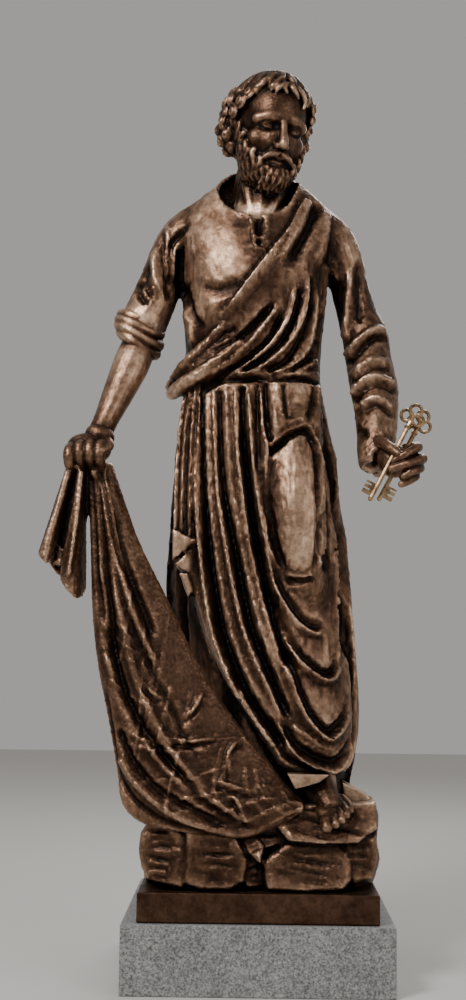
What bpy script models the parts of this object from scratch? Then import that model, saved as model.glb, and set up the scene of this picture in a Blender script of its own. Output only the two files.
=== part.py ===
"""A life-size bronze saint in a long robe and mantle, holding a gathered net and two keys.

The figure stands on boulders and a flat slab, all one casting, over a low granite base. The front faces -Y.
"""
import math

import bmesh
import bpy
import numpy as np
from mathutils import Matrix

# Driving sizes in metres
GRANITE_WIDTH = 0.568
GRANITE_DEPTH = 0.560
GRANITE_HEIGHT = 0.144
GRANITE_EDGE = 0.003
SLAB_WIDTH = 0.503
SLAB_DEPTH = 0.536
SLAB_HEIGHT = 0.062
SLAB_EDGE = 0.004
SLAB_JOINT = 0.0003
FIGURE_HEIGHT = 1.876
KEY_ROD = 0.0048
KEY_PLAY = 0.0004

# The figure is drawn in millimetres: the crown at CROWN_MM, the slab's top at FOOT_MM
FOOT_MM = 206.0
CROWN_MM = 2082.0
MM = FIGURE_HEIGHT / (CROWN_MM - FOOT_MM)
SLAB_TOP = GRANITE_HEIGHT + SLAB_JOINT + SLAB_HEIGHT

# Grids of the grown-together masses, in millimetres, and the triangles kept
ROBE_GRID = 7.0
ROBE_BLEND = 10
BODY_GRID = 5.5
HEAD_GRID = 4.0
BODY_TRIANGLES = 8200
KEY_SIDES = 8
KEY_BOW_SIDES = 12


def smooth_through(points, count):
    """count points along a smooth curve through the given points."""
    points = np.asarray(points, float)
    if len(points) == 2:
        t = np.linspace(0, 1, count)[:, None]
        return points[0] * (1 - t) + points[1] * t
    padded = np.vstack([2 * points[0] - points[1], points, 2 * points[-1] - points[-2]])
    where = np.linspace(0, len(points) - 1, count)
    i = np.minimum(where.astype(int), len(points) - 2)
    t = (where - i)[:, None]
    a, b, c, d = (padded[i + k] for k in range(4))
    return 0.5 * (2 * b + (c - a) * t + (2 * a - 5 * b + 4 * c - d) * t**2 + (3 * b - a - 3 * c + d) * t**3)


def ease(low, high, value):
    """0 below low, 1 above high, and a smooth step between."""
    t = np.clip((value - low) / (high - low), 0, 1)
    return t * t * (3 - 2 * t)


def unit(v):
    v = np.asarray(v, float)
    return v / np.maximum(np.linalg.norm(v, axis=-1, keepdims=True), 1e-9)


def loft(rings):
    """A closed solid through rings of equal length, fanned shut at both ends."""
    rings = np.asarray(rings, float)
    rows, columns = rings.shape[:2]
    points = np.vstack([rings.reshape(-1, 3), rings[0].mean(0), rings[-1].mean(0)])
    i, j = np.meshgrid(np.arange(rows - 1), np.arange(columns), indexing="ij")
    k = (j + 1) % columns
    quads = np.stack([i * columns + j, i * columns + k, (i + 1) * columns + k, (i + 1) * columns + j], -1)
    faces = quads.reshape(-1, 4).tolist()
    last = (rows - 1) * columns
    for j in range(columns):
        k = (j + 1) % columns
        faces.append([rows * columns, k, j])
        faces.append([rows * columns + 1, last + j, last + k])
    return points, faces


def sweep(stations, sides=24, steps=40, front=(0, -1, 0)):
    """A limb through stations of (x, y, z, half width, half depth); the depth lies towards front."""
    table = smooth_through(stations, steps)
    centres, wide, deep = table[:, :3], table[:, 3], table[:, 4]
    along = unit(np.gradient(centres, axis=0))
    ahead = np.asarray(front, float)
    ahead = unit(ahead - along * (along @ ahead)[:, None])
    side = np.cross(along, ahead)
    turn = np.linspace(0, 2 * math.pi, sides, endpoint=False)[:, None]
    rings = [c + s * np.cos(turn) * w + a * np.sin(turn) * d
             for c, s, a, w, d in zip(centres, side, ahead, wide, deep)]
    return loft(rings)


def domed(stations, steps=14):
    """Points and radii along a round limb, drawn in towards a point at both ends."""
    table = smooth_through(stations, steps)
    along = unit(np.gradient(table[:, :3], axis=0))
    first, last = table[0], table[-1]
    rows = []
    for share in (0.35, 0.8):
        rows.append([*(first[:3] - along[0] * first[3] * math.sqrt(1 - share**2)), first[3] * share])
    rows += table.tolist()
    for share in (0.8, 0.35):
        rows.append([*(last[:3] + along[-1] * last[3] * math.sqrt(1 - share**2)), last[3] * share])
    return np.array(rows)


def strands(runs, resolution=2):
    """Round limbs as one solid: each run is a row of x, y, z and radius."""
    curve = bpy.data.curves.new("strands", "CURVE")
    curve.dimensions = "3D"
    curve.bevel_depth = 1.0
    curve.bevel_resolution = resolution
    curve.use_fill_caps = True
    for run in runs:
        spline = curve.splines.new("POLY")
        spline.points.add(len(run) - 1)
        spline.points.foreach_set("co", np.column_stack([run[:, :3], np.ones(len(run))]).ravel())
        spline.points.foreach_set("radius", run[:, 3])
    made = bpy.data.objects.new("strands", curve)
    bpy.context.scene.collection.objects.link(made)
    mesh = bpy.data.meshes.new_from_object(made.evaluated_get(bpy.context.evaluated_depsgraph_get()))
    bpy.data.objects.remove(made)
    bpy.data.curves.remove(curve)
    return arrays_of(mesh)


def tube(stations):
    """A round limb through stations of (x, y, z, radius) with domed ends."""
    return strands([domed(stations)], 5)


def arrays_of(mesh):
    """The points and faces of a mesh, which is removed."""
    points = np.empty(len(mesh.vertices) * 3, np.float32)
    mesh.vertices.foreach_get("co", points)
    faces = [list(p.vertices) for p in mesh.polygons]
    bpy.data.meshes.remove(mesh)
    return points.reshape(-1, 3).astype(float), faces


def primitive(make, **sizes):
    """The points and faces of one of bmesh's own primitives."""
    grown = bmesh.new()
    make(grown, **sizes)
    mesh = bpy.data.meshes.new("primitive")
    grown.to_mesh(mesh)
    grown.free()
    return arrays_of(mesh)


def turned(x, y, z):
    """The 3x3 matrix that turns by x, then y, then z degrees."""
    spin = (Matrix.Rotation(math.radians(z), 3, "Z") @ Matrix.Rotation(math.radians(y), 3, "Y")
            @ Matrix.Rotation(math.radians(x), 3, "X"))
    return np.array(spin)


def globe(sides, rows):
    """Unit directions in rings from the south pole to the north."""
    lat = np.linspace(-math.pi / 2, math.pi / 2, rows + 2)[1:-1]
    lon = np.linspace(0, 2 * math.pi, sides, endpoint=False)
    return np.stack([np.cos(lat)[:, None] * np.cos(lon), np.cos(lat)[:, None] * np.sin(lon),
                     np.repeat(np.sin(lat)[:, None], sides, 1)], -1)


def ball(centre, radii, turn=(0, 0, 0), sides=36, rows=24):
    """An ellipsoid, turned by Euler angles in degrees."""
    points, faces = primitive(bmesh.ops.create_uvsphere, u_segments=sides, v_segments=rows, radius=1.0)
    return (points * np.array(radii)) @ turned(*turn).T + np.array(centre), faces


def boulder(centre, radii, seed, cuts=9, hardness=45, sides=72, rows=48):
    """A stone dressed flat on six sides and over a few slanting cuts, all shaken by the seed."""
    shake = np.random.default_rng(seed)
    square = np.vstack([np.eye(3), -np.eye(3)])
    n = np.arange(cuts) + 0.5
    lift = 1 - 2 * n / cuts
    swing = n * math.pi * (3 - math.sqrt(5)) + seed
    flat = np.sqrt(1 - lift**2)
    slant = np.stack([flat * np.cos(swing), flat * np.sin(swing), lift], 1)
    planes = unit(np.vstack([square + shake.normal(0, 0.11, square.shape),
                             slant + shake.normal(0, 0.2, slant.shape)]))
    reach = np.concatenate([shake.uniform(0.88, 1.0, 6), shake.uniform(1.0, 1.22, cuts)])
    ray = globe(sides, rows)
    push = np.maximum(ray @ planes.T, 0) / reach
    length = (push**hardness).sum(-1) ** (-1 / hardness)
    return loft(ray * length[..., None] * np.array(radii) + np.array(centre))


def join(*solids):
    """One solid of several, as points and faces."""
    points, faces, shift = [], [], 0
    for p, f in solids:
        points.append(np.asarray(p, float))
        faces.extend([[k + shift for k in face] for face in f])
        shift += len(p)
    return np.vstack(points), faces


def object_of(name, solid):
    mesh = bpy.data.meshes.new(name)
    mesh.from_pydata(np.asarray(solid[0]).tolist(), [], solid[1])
    mesh.update()
    made = bpy.data.objects.new(name, mesh)
    bpy.context.scene.collection.objects.link(made)
    return made


def solid_of(obj):
    """The points and faces of an object, which is removed."""
    mesh = obj.data
    bpy.data.objects.remove(obj)
    return arrays_of(mesh)


def apply_modifiers(obj):
    graph = bpy.context.evaluated_depsgraph_get()
    mesh = bpy.data.meshes.new_from_object(obj.evaluated_get(graph))
    obj.modifiers.clear()
    old, obj.data = obj.data, mesh
    bpy.data.meshes.remove(old)
    return obj


def fused(name, solids, grid, blend=0):
    """One object: the solids grown together on a grid, then relaxed blend times."""
    made = object_of(name, join(*solids))
    grow = made.modifiers.new("Fuse", "REMESH")
    grow.mode = "VOXEL"
    grow.voxel_size = grid
    if blend:
        relax = made.modifiers.new("Blend", "SMOOTH")
        relax.factor = 0.5
        relax.iterations = blend
    return apply_modifiers(made)


# Where the small forms are, as centre, reach and how readily the surface there is simplified
SMALL_FORMS = [((16, -40, 1920), 190, 0.30), ((300, -210, 1110), 95, 0.22), ((-385, -140, 1150), 80, 0.45),
               ((155, -225, 360), 75, 0.3)]


def thinned(obj, triangles):
    """The object with flat stretches merged until about the given number of triangles is left."""
    present = sum(len(p.vertices) - 2 for p in obj.data.polygons)
    if present > triangles:
        points = np.empty(len(obj.data.vertices) * 3, np.float32)
        obj.data.vertices.foreach_get("co", points)
        points = points.reshape(-1, 3)
        plain = obj.vertex_groups.new(name="plain")
        plain.add(range(len(points)), 1.0, "REPLACE")
        for centre, reach, ease_off in SMALL_FORMS:
            near = np.flatnonzero(np.linalg.norm(points - centre, axis=1) < reach)
            plain.add(near.tolist(), ease_off, "REPLACE")
        thin = obj.modifiers.new("Thin", "DECIMATE")
        thin.vertex_group = plain.name
        thin.ratio = triangles / present
        thin.use_collapse_triangulate = True
        apply_modifiers(obj)
    return obj


SIGHTS = {
    "front": (np.array([0.0, 1, 0]), np.array([1.0, 0, 0])),
    "back": (np.array([0.0, -1, 0]), np.array([1.0, 0, 0])),
    "side": (np.array([-1.0, 0, 0]), np.array([0.0, 1, 0])),
    "other_side": (np.array([1.0, 0, 0]), np.array([0.0, 1, 0])),
}
PROFILES = {
    "ridge": lambda s: (1 - s**2) ** 2,
    "valley": lambda s: (1 - np.abs(s) ** 1.35) ** 2,
    "crest": lambda s: (1 - np.abs(s)) ** 1.5,
    "step": lambda s: np.where(s < 0, (1 + s) ** 1.3, np.clip(1 - s / 0.22, 0, 1)),
    "back_step": lambda s: np.where(s > 0, (1 - s) ** 1.3, np.clip(1 + s / 0.22, 0, 1)),
}


class Carving:
    """The surface of one object, raised and sunk along lines drawn in a flat view of it."""

    def __init__(self, obj):
        self.obj = obj
        self.begin()

    def begin(self):
        """Reads the surface; the strokes that follow add to one shift."""
        mesh = self.obj.data
        points = np.empty(len(mesh.vertices) * 3, np.float32)
        normals = np.empty(len(mesh.vertices) * 3, np.float32)
        mesh.vertices.foreach_get("co", points)
        mesh.vertices.foreach_get("normal", normals)
        self.points = points.reshape(-1, 3).astype(float)
        self.normals = normals.reshape(-1, 3).astype(float)
        self.shift = np.zeros_like(self.points)
        self.faced = {}

    def end(self):
        self.points += self.shift
        self.obj.data.vertices.foreach_set("co", self.points.astype(np.float32).ravel())
        self.obj.data.update()

    def facing(self, view):
        """How squarely each point faces the viewer, 0 to 1."""
        if view not in self.faced:
            self.faced[view] = ease(0.02, 0.35, -(self.normals @ SIGHTS[view][0]))
        return self.faced[view]

    def near_line(self, path, reach, view):
        """Points within reach of a drawn line: their indices, signed distances and shares along it."""
        across = SIGHTS[view][1]
        line = smooth_through(path, 10 * len(path))
        flat = np.stack([self.points @ across, self.points[:, 2]], 1)
        low, high = line.min(0) - reach, line.max(0) + reach
        near = np.flatnonzero(((flat > low) & (flat < high)).all(1) & (self.facing(view) > 0))
        spot = flat[near]
        best = np.full(len(near), np.inf)
        side = np.ones(len(near))
        share = np.zeros(len(near))
        for k in range(len(line) - 1):
            run = line[k + 1] - line[k]
            t = np.clip((spot - line[k]) @ run / max(run @ run, 1e-9), 0, 1)
            gap = spot - line[k] - t[:, None] * run
            far = np.hypot(gap[:, 0], gap[:, 1])
            better = far < best
            best[better] = far[better]
            side[better] = np.sign(run[0] * gap[:, 1] - run[1] * gap[:, 0])[better]
            share[better] = ((k + t) / (len(line) - 1))[better]
        return near, side * best, share

    def stroke(self, path, width, height, profile="ridge", fade=(0.15, 0.15), view="front"):
        """A raised line, or a sunk one where the height is negative; width is the half width."""
        near, far, share = self.near_line(path, width, view)
        s = far / width
        rise = PROFILES[profile](np.clip(s, -1, 1)) * (np.abs(s) < 1)
        ends = ease(0, max(fade[0], 1e-4), share) * ease(0, max(fade[1], 1e-4), 1 - share)
        amount = height * rise * ends * self.facing(view)[near]
        self.shift[near] += self.normals[near] * amount[:, None]

    def within(self, outline, view="front"):
        """Each point's distance inside a drawn outline, negative outside it."""
        across = SIGHTS[view][1]
        flat = np.stack([self.points @ across, self.points[:, 2]], 1)
        gap = np.full(len(flat), np.inf)
        inside = np.zeros(len(flat), bool)
        ring = np.asarray(outline, float)
        for a, b in zip(ring, np.roll(ring, -1, axis=0)):
            run = b - a
            t = np.clip((flat - a) @ run / max(run @ run, 1e-9), 0, 1)
            gap = np.minimum(gap, np.hypot(*(flat - a - t[:, None] * run).T))
            if a[1] != b[1]:
                crossed = (a[1] > flat[:, 1]) != (b[1] > flat[:, 1])
                inside ^= crossed & (flat[:, 0] < a[0] + (flat[:, 1] - a[1]) * run[0] / run[1])
        return np.where(inside, gap, -gap)

    def patch(self, outline, height, soft, view="front"):
        """Raises what lies inside a drawn outline, or sinks it, over a soft edge."""
        amount = height * ease(0, soft, self.within(outline, view)) * self.facing(view)
        self.shift += self.normals * amount[:, None]

    def hollow(self, centre, lean, radii, depth):
        """Sinks what stands over a leaning ellipse, deepest in its middle."""
        turn = turned(*lean)
        local = (self.points - np.asarray(centre, float)) @ turn
        share = np.hypot(local[:, 0] / radii[0], local[:, 1] / radii[1])
        drop = np.minimum(-depth * (1 - np.minimum(share, 1) ** 4) - local[:, 2], 0) * (share < 1)
        self.shift += drop[:, None] * turn[:, 2]

    def dent(self, centre, reach, push):
        """Moves the points within reach of a centre by the push vector, fading out smoothly."""
        gap = np.linalg.norm((self.points - np.asarray(centre, float)) / np.asarray(reach, float), axis=1)
        self.shift += np.clip(1 - gap**2, 0, 1)[:, None] ** 2 * np.asarray(push, float)


def between(a, b, share, count=8):
    """The drawn line a given share of the way from line a to line b."""
    first, second = smooth_through(a, count), smooth_through(b, count)
    return first * (1 - share) + second * share


# Levels of the trunk and skirt: height, left, right, half depth in front, half depth behind
TRUNK = [
    (367, -132, 208, 110, 150), (412, -146, 212, 150, 180), (479, -170, 223, 200, 200),
    (592, -185, 226, 210, 200), (728, -205, 216, 195, 190), (842, -219, 204, 175, 180),
    (957, -213, 195, 165, 175), (1073, -206, 179, 158, 170), (1190, -196, 162, 150, 165),
    (1273, -186, 145, 138, 155), (1325, -175, 136, 128, 140), (1403, -178, 138, 132, 135),
    (1498, -186, 146, 140, 135), (1582, -193, 152, 138, 135), (1643, -200, 168, 124, 130),
    (1681, -202, 172, 108, 120), (1712, -192, 164, 94, 110), (1740, -174, 150, 86, 102),
    (1764, -146, 126, 80, 94), (1790, -112, 96, 70, 86), (1816, -82, 70, 54, 72),
]
RIGHT_SLEEVE = [
    (-120, 10, 1728, 40, 52), (-164, 10, 1700, 48, 60), (-194, 10, 1664, 54, 64), (-216, 8, 1618, 54, 64),
    (-238, 0, 1562, 51, 62), (-258, -10, 1508, 53, 60), (-276, -20, 1462, 54, 58), (-285, -26, 1436, 52, 55),
]
LEFT_SLEEVE = [
    (96, 10, 1726, 40, 50), (134, 10, 1702, 44, 56), (168, 10, 1664, 49, 60), (188, 12, 1614, 49, 60),
    (206, 20, 1556, 44, 58), (224, 18, 1490, 47, 58), (242, 2, 1432, 54, 60), (247, -12, 1380, 53, 58),
    (257, -45, 1310, 55, 57), (260, -82, 1245, 50, 54), (258, -112, 1188, 45, 50), (252, -134, 1140, 40, 46),
    (249, -144, 1108, 34, 42),
]
THIGH = [
    (51, -40, 1300, 66, 64), (66, -80, 1165, 72, 70), (78, -116, 1040, 68, 70), (86, -130, 930, 60, 64),
    (92, -120, 880, 54, 58), (104, -108, 790, 50, 52), (118, -112, 619, 48, 50), (133, -118, 490, 44, 46),
]


def robe_masses():
    table = smooth_through(TRUNK, 120)
    turn = np.linspace(0, 2 * math.pi, 72, endpoint=False)
    c, s = np.cos(turn), np.sin(turn)
    full = 2 / 2.3
    rings = []
    for z, left, right, front, behind in table:
        x = (left + right) / 2 + (right - left) / 2 * np.sign(c) * np.abs(c) ** full
        y = np.where(s < 0, front, behind) * np.sign(s) * np.abs(s) ** full
        rings.append(np.stack([x, y, np.full(len(turn), z)], 1))
    return [loft(rings), sweep(RIGHT_SLEEVE), sweep(LEFT_SLEEVE), sweep(THIGH),
            ball((-4, 40, 1762), (104, 64, 92)), ball((-4, 20, 1730), (150, 70, 62))]


# Guide lines of the drapery in a flat view, x across and z up. The front panel's left edge and hem
PANEL_EDGE = [(-196, 1160), (-190, 1060), (-186, 972), (-150, 950), (-184, 896), (-150, 858), (-140, 818),
              (-122, 759), (-100, 701), (-65, 636), (-30, 585), (19, 512), (57, 456), (108, 440), (160, 440),
              (205, 462), (240, 600)]
PANEL_REST = [(262, 900), (240, 1200)]
# Three deep valleys from the waist to the hem, and the ridges that follow them
VALLEY_1 = [(-136, 1288), (-134, 1179), (-129, 1060), (-117, 922), (-91, 766), (-62, 682), (-23, 602),
            (26, 538), (57, 494)]
VALLEY_2 = [(-97, 1288), (-93, 1180), (-84, 1060), (-58, 923), (-25, 777), (-4, 715), (25, 647), (67, 548)]
VALLEY_3 = [(-45, 1294), (-42, 1210), (-36, 1130), (-14, 969), (16, 837), (38, 757), (70, 651)]
POUCH = [(0, 1300), (6, 1246), (11, 1195), (20, 1154), (51, 1178), (77, 1191), (96, 1193), (112, 1178),
         (128, 1150), (146, 1230), (140, 1310)]
KNEE_LEFT = [(16, 1130), (13, 1081), (20, 1011), (30, 945), (44, 900), (60, 876)]
KNEE_RIGHT = [(122, 1150), (126, 1068), (128, 980), (122, 910), (113, 872)]
SIDE_VALLEY = [(140, 1180), (149, 1101), (148, 1030), (140, 940), (150, 862)]
LOOPS = [
    [(10, 915), (22, 868), (37, 833), (65, 785), (92, 755), (118, 742), (134, 752)],
    [(26, 815), (41, 771), (55, 730), (79, 689), (107, 662), (138, 643), (160, 650), (172, 680), (176, 740)],
    [(50, 700), (66, 651), (87, 593), (111, 549), (142, 520), (162, 525), (187, 556), (199, 615)],
    [(38, 562), (49, 530), (68, 498), (96, 474), (129, 456), (160, 450), (190, 474), (208, 520), (214, 590)],
]
# The mantle across the chest: its upper edge, then lines of its folds down to the waist
MANTLE_EDGE = [(92, 1742), (75, 1699), (59, 1662), (29, 1617), (-4, 1573), (-37, 1528), (-64, 1492),
               (-96, 1452)]
FOLD_SHADOWS = [
    ([(-56, 1430), (-75, 1414), (-101, 1401), (-134, 1370), (-173, 1333), (-206, 1309)], 13, 12),
    ([(34, 1490), (-19, 1435), (-68, 1391), (-117, 1350), (-166, 1310), (-199, 1283)], 13, 18),
    ([(48, 1470), (16, 1402), (-35, 1354), (-78, 1327), (-133, 1297), (-179, 1273)], 10, 20),
    ([(88, 1530), (74, 1462), (46, 1400), (4, 1358), (-46, 1326)], 10, 15),
    ([(112, 1560), (108, 1480), (90, 1412), (56, 1356), (10, 1326)], 10, 15),
    ([(128, 1420), (112, 1372), (70, 1336), (20, 1316)], 10, 14),
]
FOLD_RIDGES = [
    ([(44, 1496), (-3, 1424), (-42, 1378), (-84, 1340), (-133, 1307), (-170, 1286)], 12, 16),
    ([(76, 1540), (58, 1456), (24, 1402), (-19, 1358), (-68, 1322)], 11, 12),
    ([(104, 1570), (96, 1486), (73, 1419), (31, 1365), (-18, 1328), (-58, 1315)], 11, 13),
    ([(122, 1540), (118, 1460), (106, 1400), (76, 1352), (30, 1320)], 10, 10),
    ([(132, 1370), (106, 1352), (80, 1336), (31, 1316), (-18, 1311)], 9, 9),
]
BACK_HIGH = [(110, 1750), (20, 1640), (-70, 1500), (-190, 1370)]
BACK_LOW = [(150, 1520), (70, 1420), (-40, 1340), (-180, 1290)]
NECK_SLIT = [(-31, 1704), (-24, 1644), (-11, 1590), (5, 1644), (6, 1704)]


def hang_panel(c):
    """The front panel: what lies beside it and under its hem stands further back, in shadow."""
    outline = np.vstack([smooth_through(PANEL_EDGE[:3], 12), PANEL_EDGE[3:6],
                         smooth_through(PANEL_EDGE[6:], 60), PANEL_REST])
    inside = c.within(outline, "front")
    shade = ease(2, -14, inside) * ease(30, -40, c.points[:, 1]) * ease(1150, 1090, c.points[:, 2])
    c.shift[:, 1] += (92 + 16 * ease(1000, 700, c.points[:, 2])) * shade


def fold_skirt(draw):
    """The front panel's long folds, the pouch and the drawn cloth over the knee."""
    for line, width, depth in ((VALLEY_1, 21, 54), (VALLEY_2, 17, 42), (VALLEY_3, 19, 48)):
        draw(line, width, -depth, "valley", (0.03, 0.07))
    draw(between(VALLEY_1, VALLEY_2, 0.74, 12), 12, 15, "crest", (0.03, 0.08))
    draw(between(VALLEY_2, VALLEY_3, 0.30, 12), 10, 6, "ridge", (0.03, 0.2))
    draw(between(VALLEY_2, VALLEY_3, 0.74, 12), 13, 15, "crest", (0.03, 0.05))
    draw([(x - 17, z) for x, z in VALLEY_1], 10, 13, "crest", (0.02, 0.04))
    draw([(-31, 1284), (-24, 1180), (-15, 1080), (0, 983), (17, 902), (36, 850)], 9, 12, "crest",
         (0.03, 0.12))
    draw([(-11, 1294), (-8, 1152), (2, 1060), (14, 980)], 8, -14, "valley", (0.03, 0.2))
    draw([(-4, 1284), (2, 1200), (12, 1150), (10, 1100), (14, 1020)], 8, 11, "crest", (0.04, 0.2))
    # Short pleats of the hanging end at the hip, and its hem folded to and fro
    for x, depth in ((-176, 8), (-157, 10)):
        draw([(x + 8, 1288), (x, 1120), (x - 2, 975)], 9, -depth, "valley", (0.03, 0.03))
    for a, b in (((-188, 970), (-132, 940)), ((-132, 936), (-184, 893)), ((-164, 872), (-133, 862)),
                 ((-130, 852), (-150, 816))):
        draw([a, b], 9, -18, "valley", (0.02, 0.02))
    # The pouch over the thigh and the shadow under it
    draw([(6, 1290), (12, 1230), (15, 1195), (22, 1160)], 8, -15, "valley", (0.05, 0.05))
    draw([(40, 1284), (46, 1240), (56, 1205)], 8, -9, "valley", (0.05, 0.3))
    draw([(120, 1290), (112, 1240), (104, 1210)], 12, -9, "valley", (0.05, 0.3))
    draw([(16, 1152), (51, 1180), (77, 1192), (96, 1194), (112, 1179), (128, 1150)], 9, 15, "crest",
         (0.04, 0.1))
    draw([(14, 1128), (26, 1146), (52, 1167), (78, 1178), (97, 1179), (112, 1160), (122, 1130)], 11, -20,
         "valley", (0.06, 0.12))
    draw(KNEE_LEFT, 16, -22, "valley", (0.02, 0.25))
    draw(KNEE_RIGHT, 12, -18, "valley", (0.05, 0.25))
    draw([(56, 868), (85, 861), (116, 868)], 12, -15, "valley", (0.2, 0.2))
    draw(SIDE_VALLEY, 19, -46, "valley", (0.15, 0.2))
    draw([(176, 1010), (184, 900), (186, 800), (192, 660)], 13, -22, "valley", (0.2, 0.2))
    for line, height in (([(156, 1210), (166, 1100), (172, 1000), (170, 880), (176, 760)], 9),
                         ([(186, 1010), (196, 900), (200, 800), (210, 660), (214, 590)], 9)):
        draw(line, 9, height, "crest", (0.15, 0.15))
    # Loops of cloth below the knee
    for line, width, height in zip(LOOPS, (11, 12, 13, 13), (14, 16, 18, 18)):
        draw(line, width, height, "crest", (0.1, 0.12))
        draw([(x + 3, z + 17) for x, z in line], 15, -0.85 * height, "valley", (0.22, 0.22))
    draw([(70, 546), (94, 529), (142, 499), (170, 504)], 10, 9, "crest", (0.1, 0.2))
    draw([(44, 500), (60, 476), (108, 456), (160, 444)], 8, -12, "valley", (0.1, 0.2))


def fold_mantle(draw):
    """The mantle across the chest and over the back."""
    draw(MANTLE_EDGE, 30, 14, "back_step", (0.01, 0.2))
    draw([(x - 5, z + 4) for x, z in MANTLE_EDGE], 7, -7, "valley", (0.02, 0.15))
    draw(BACK_HIGH, 34, 15, "step", (0.01, 0.01), "back")
    for line, width, height in FOLD_RIDGES:
        draw(line, width, height, "crest", (0.12, 0.06))
    for line, width, depth in FOLD_SHADOWS:
        draw(line, width, -depth, "valley", (0.12, 0.05))
    draw([(-82, 1440), (-120, 1402), (-170, 1354), (-200, 1336)], 13, 13, "ridge", (0.15, 0.02))
    draw([(-66, 1408), (-101, 1380), (-150, 1336), (-204, 1296)], 10, 8, "ridge", (0.1, 0.02))
    # Broad folds below the shoulder
    draw([(128, 1738), (108, 1676), (84, 1620), (52, 1560)], 18, -15, "valley", (0.08, 0.3))
    draw([(106, 1742), (86, 1676), (56, 1616), (20, 1556)], 15, 9, "ridge", (0.05, 0.3))
    draw([(150, 1726), (140, 1650), (120, 1570)], 16, 9, "ridge", (0.1, 0.3))
    draw([(146, 1600), (138, 1520), (128, 1450)], 12, 9, "ridge", (0.1, 0.3))
    # The lower edge stands over the skirt at the waist
    draw([(-150, 1284), (-90, 1305), (-35, 1302), (31, 1305), (138, 1312)], 22, 8, "back_step", (0.04, 0.03))
    draw([(-150, 1268), (-90, 1290), (-35, 1289), (31, 1291), (140, 1297)], 10, -16, "valley", (0.04, 0.03))
    for share in (0.2, 0.45, 0.7):
        draw(between(BACK_HIGH, BACK_LOW, share), 16, 12, "ridge", (0.05, 0.1), "back")
        draw(between(BACK_HIGH, BACK_LOW, share + 0.12), 14, -10, "valley", (0.08, 0.1), "back")


def fold_tunic(draw):
    """The tunic's chest, its slit neck and the sleeves."""
    draw([(-192, 1640), (-193, 1600), (-192, 1540), (-190, 1470), (-184, 1400), (-182, 1360)], 12, -24,
         "valley", (0.15, 0.1))
    draw([(-184, 1553), (-170, 1498), (-156, 1458), (-129, 1424)], 13, -12, "valley", (0.15, 0.25))
    draw([(-182, 1500), (-168, 1440), (-156, 1393)], 10, 9, "ridge", (0.2, 0.2))
    draw([(-140, 1534), (-104, 1512), (-70, 1520), (-46, 1540)], 24, -8, "ridge", (0.3, 0.4))
    draw([(-30, 1692), (-24, 1644), (-20, 1618), (-12, 1592)], 7, 8, "crest", (0.01, 0.2))
    draw([(7, 1692), (7, 1644), (-4, 1612)], 7, 7, "crest", (0.01, 0.2))
    for a, b in (((-27, 1634), (9, 1618)), ((-27, 1618), (9, 1634))):
        draw([a, b], 5, 9, "ridge", (0.02, 0.02))
    # The right sleeve pulls from the shoulder to its cuff
    for line, width, height in (
        ([(-166, 1690), (-212, 1640), (-214, 1590), (-206, 1530)], 12, -14),
        ([(-232, 1690), (-232, 1620), (-222, 1560), (-216, 1500)], 12, -9),
        ([(-222, 1700), (-222, 1620), (-214, 1550)], 10, 7),
        ([(-250, 1640), (-252, 1580), (-240, 1520)], 12, 9),
        ([(-282, 1560), (-286, 1520), (-262, 1490)], 12, -12),
        ([(-262, 1600), (-272, 1550), (-250, 1500)], 11, -8),
    ):
        draw(line, width, height, "ridge" if height > 0 else "valley", (0.25, 0.2))
    # The left sleeve creases at the elbow and above the cuff
    for line, width, height in (
        ([(191, 1380), (228, 1420), (257, 1441), (288, 1443)], 12, 17),
        ([(206, 1284), (216, 1308), (248, 1320), (281, 1312), (302, 1294)], 11, 15),
        ([(220, 1258), (246, 1270), (269, 1261), (290, 1238)], 10, 12),
        ([(208, 1270), (214, 1230), (226, 1190)], 10, 9),
    ):
        draw(line, width, height, "crest", (0.06, 0.12))
        draw([(x + 4, z - 21) for x, z in line], 13, -0.8 * height, "valley", (0.1, 0.2))
    draw([(201, 1600), (199, 1500), (190, 1410)], 12, 10, "ridge", (0.2, 0.15))
    draw([(222, 1620), (222, 1520), (224, 1450)], 14, -9, "valley", (0.25, 0.2))
    draw([(148, 1560), (152, 1596), (160, 1612), (168, 1600), (174, 1552)], 8, 9, "crest", (0.15, 0.15))
    for line in ([(-150, 1700), (-212, 1600), (-250, 1480)], [(180, 1660), (236, 1480), (262, 1340)]):
        draw(line, 16, -10, "valley", (0.2, 0.2), "back")


def fold_sides(draw):
    """Plain long folds behind and at the sides."""
    for k in range(9):
        x = -160 + 38 * k
        spread = 1 + 0.2 * abs(k - 4) / 4
        fold = [(x * 0.8, 1290), (x * 0.92 * spread, 1050), (x * spread, 760), (x * 1.02 * spread, 430)]
        draw(fold, 18, -26, "valley", (0.06, 0.0), "back")
        draw([(px + 19, pz) for px, pz in fold], 13, 10, "ridge", (0.1, 0.0), "back")
    for y in (-80, -10, 60):
        for view in ("side", "other_side"):
            draw([(y * 0.8, 1270), (y, 1000), (y * 1.15, 700), (y * 1.2, 440)], 17, -22, "valley",
                 (0.08, 0.02), view)


def carve_robe(robe):
    c = Carving(robe)
    hang_panel(c)
    c.end()
    c = Carving(fused("robe", [solid_of(robe)], ROBE_GRID, 2))
    c.patch(POUCH, 15, 22)
    fold_skirt(c.stroke)
    c.end()
    c.begin()
    c.patch(NECK_SLIT, -13, 9)
    for fold in (fold_mantle, fold_tunic, fold_sides):
        fold(c.stroke)
    c.end()
    return c.obj


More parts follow.
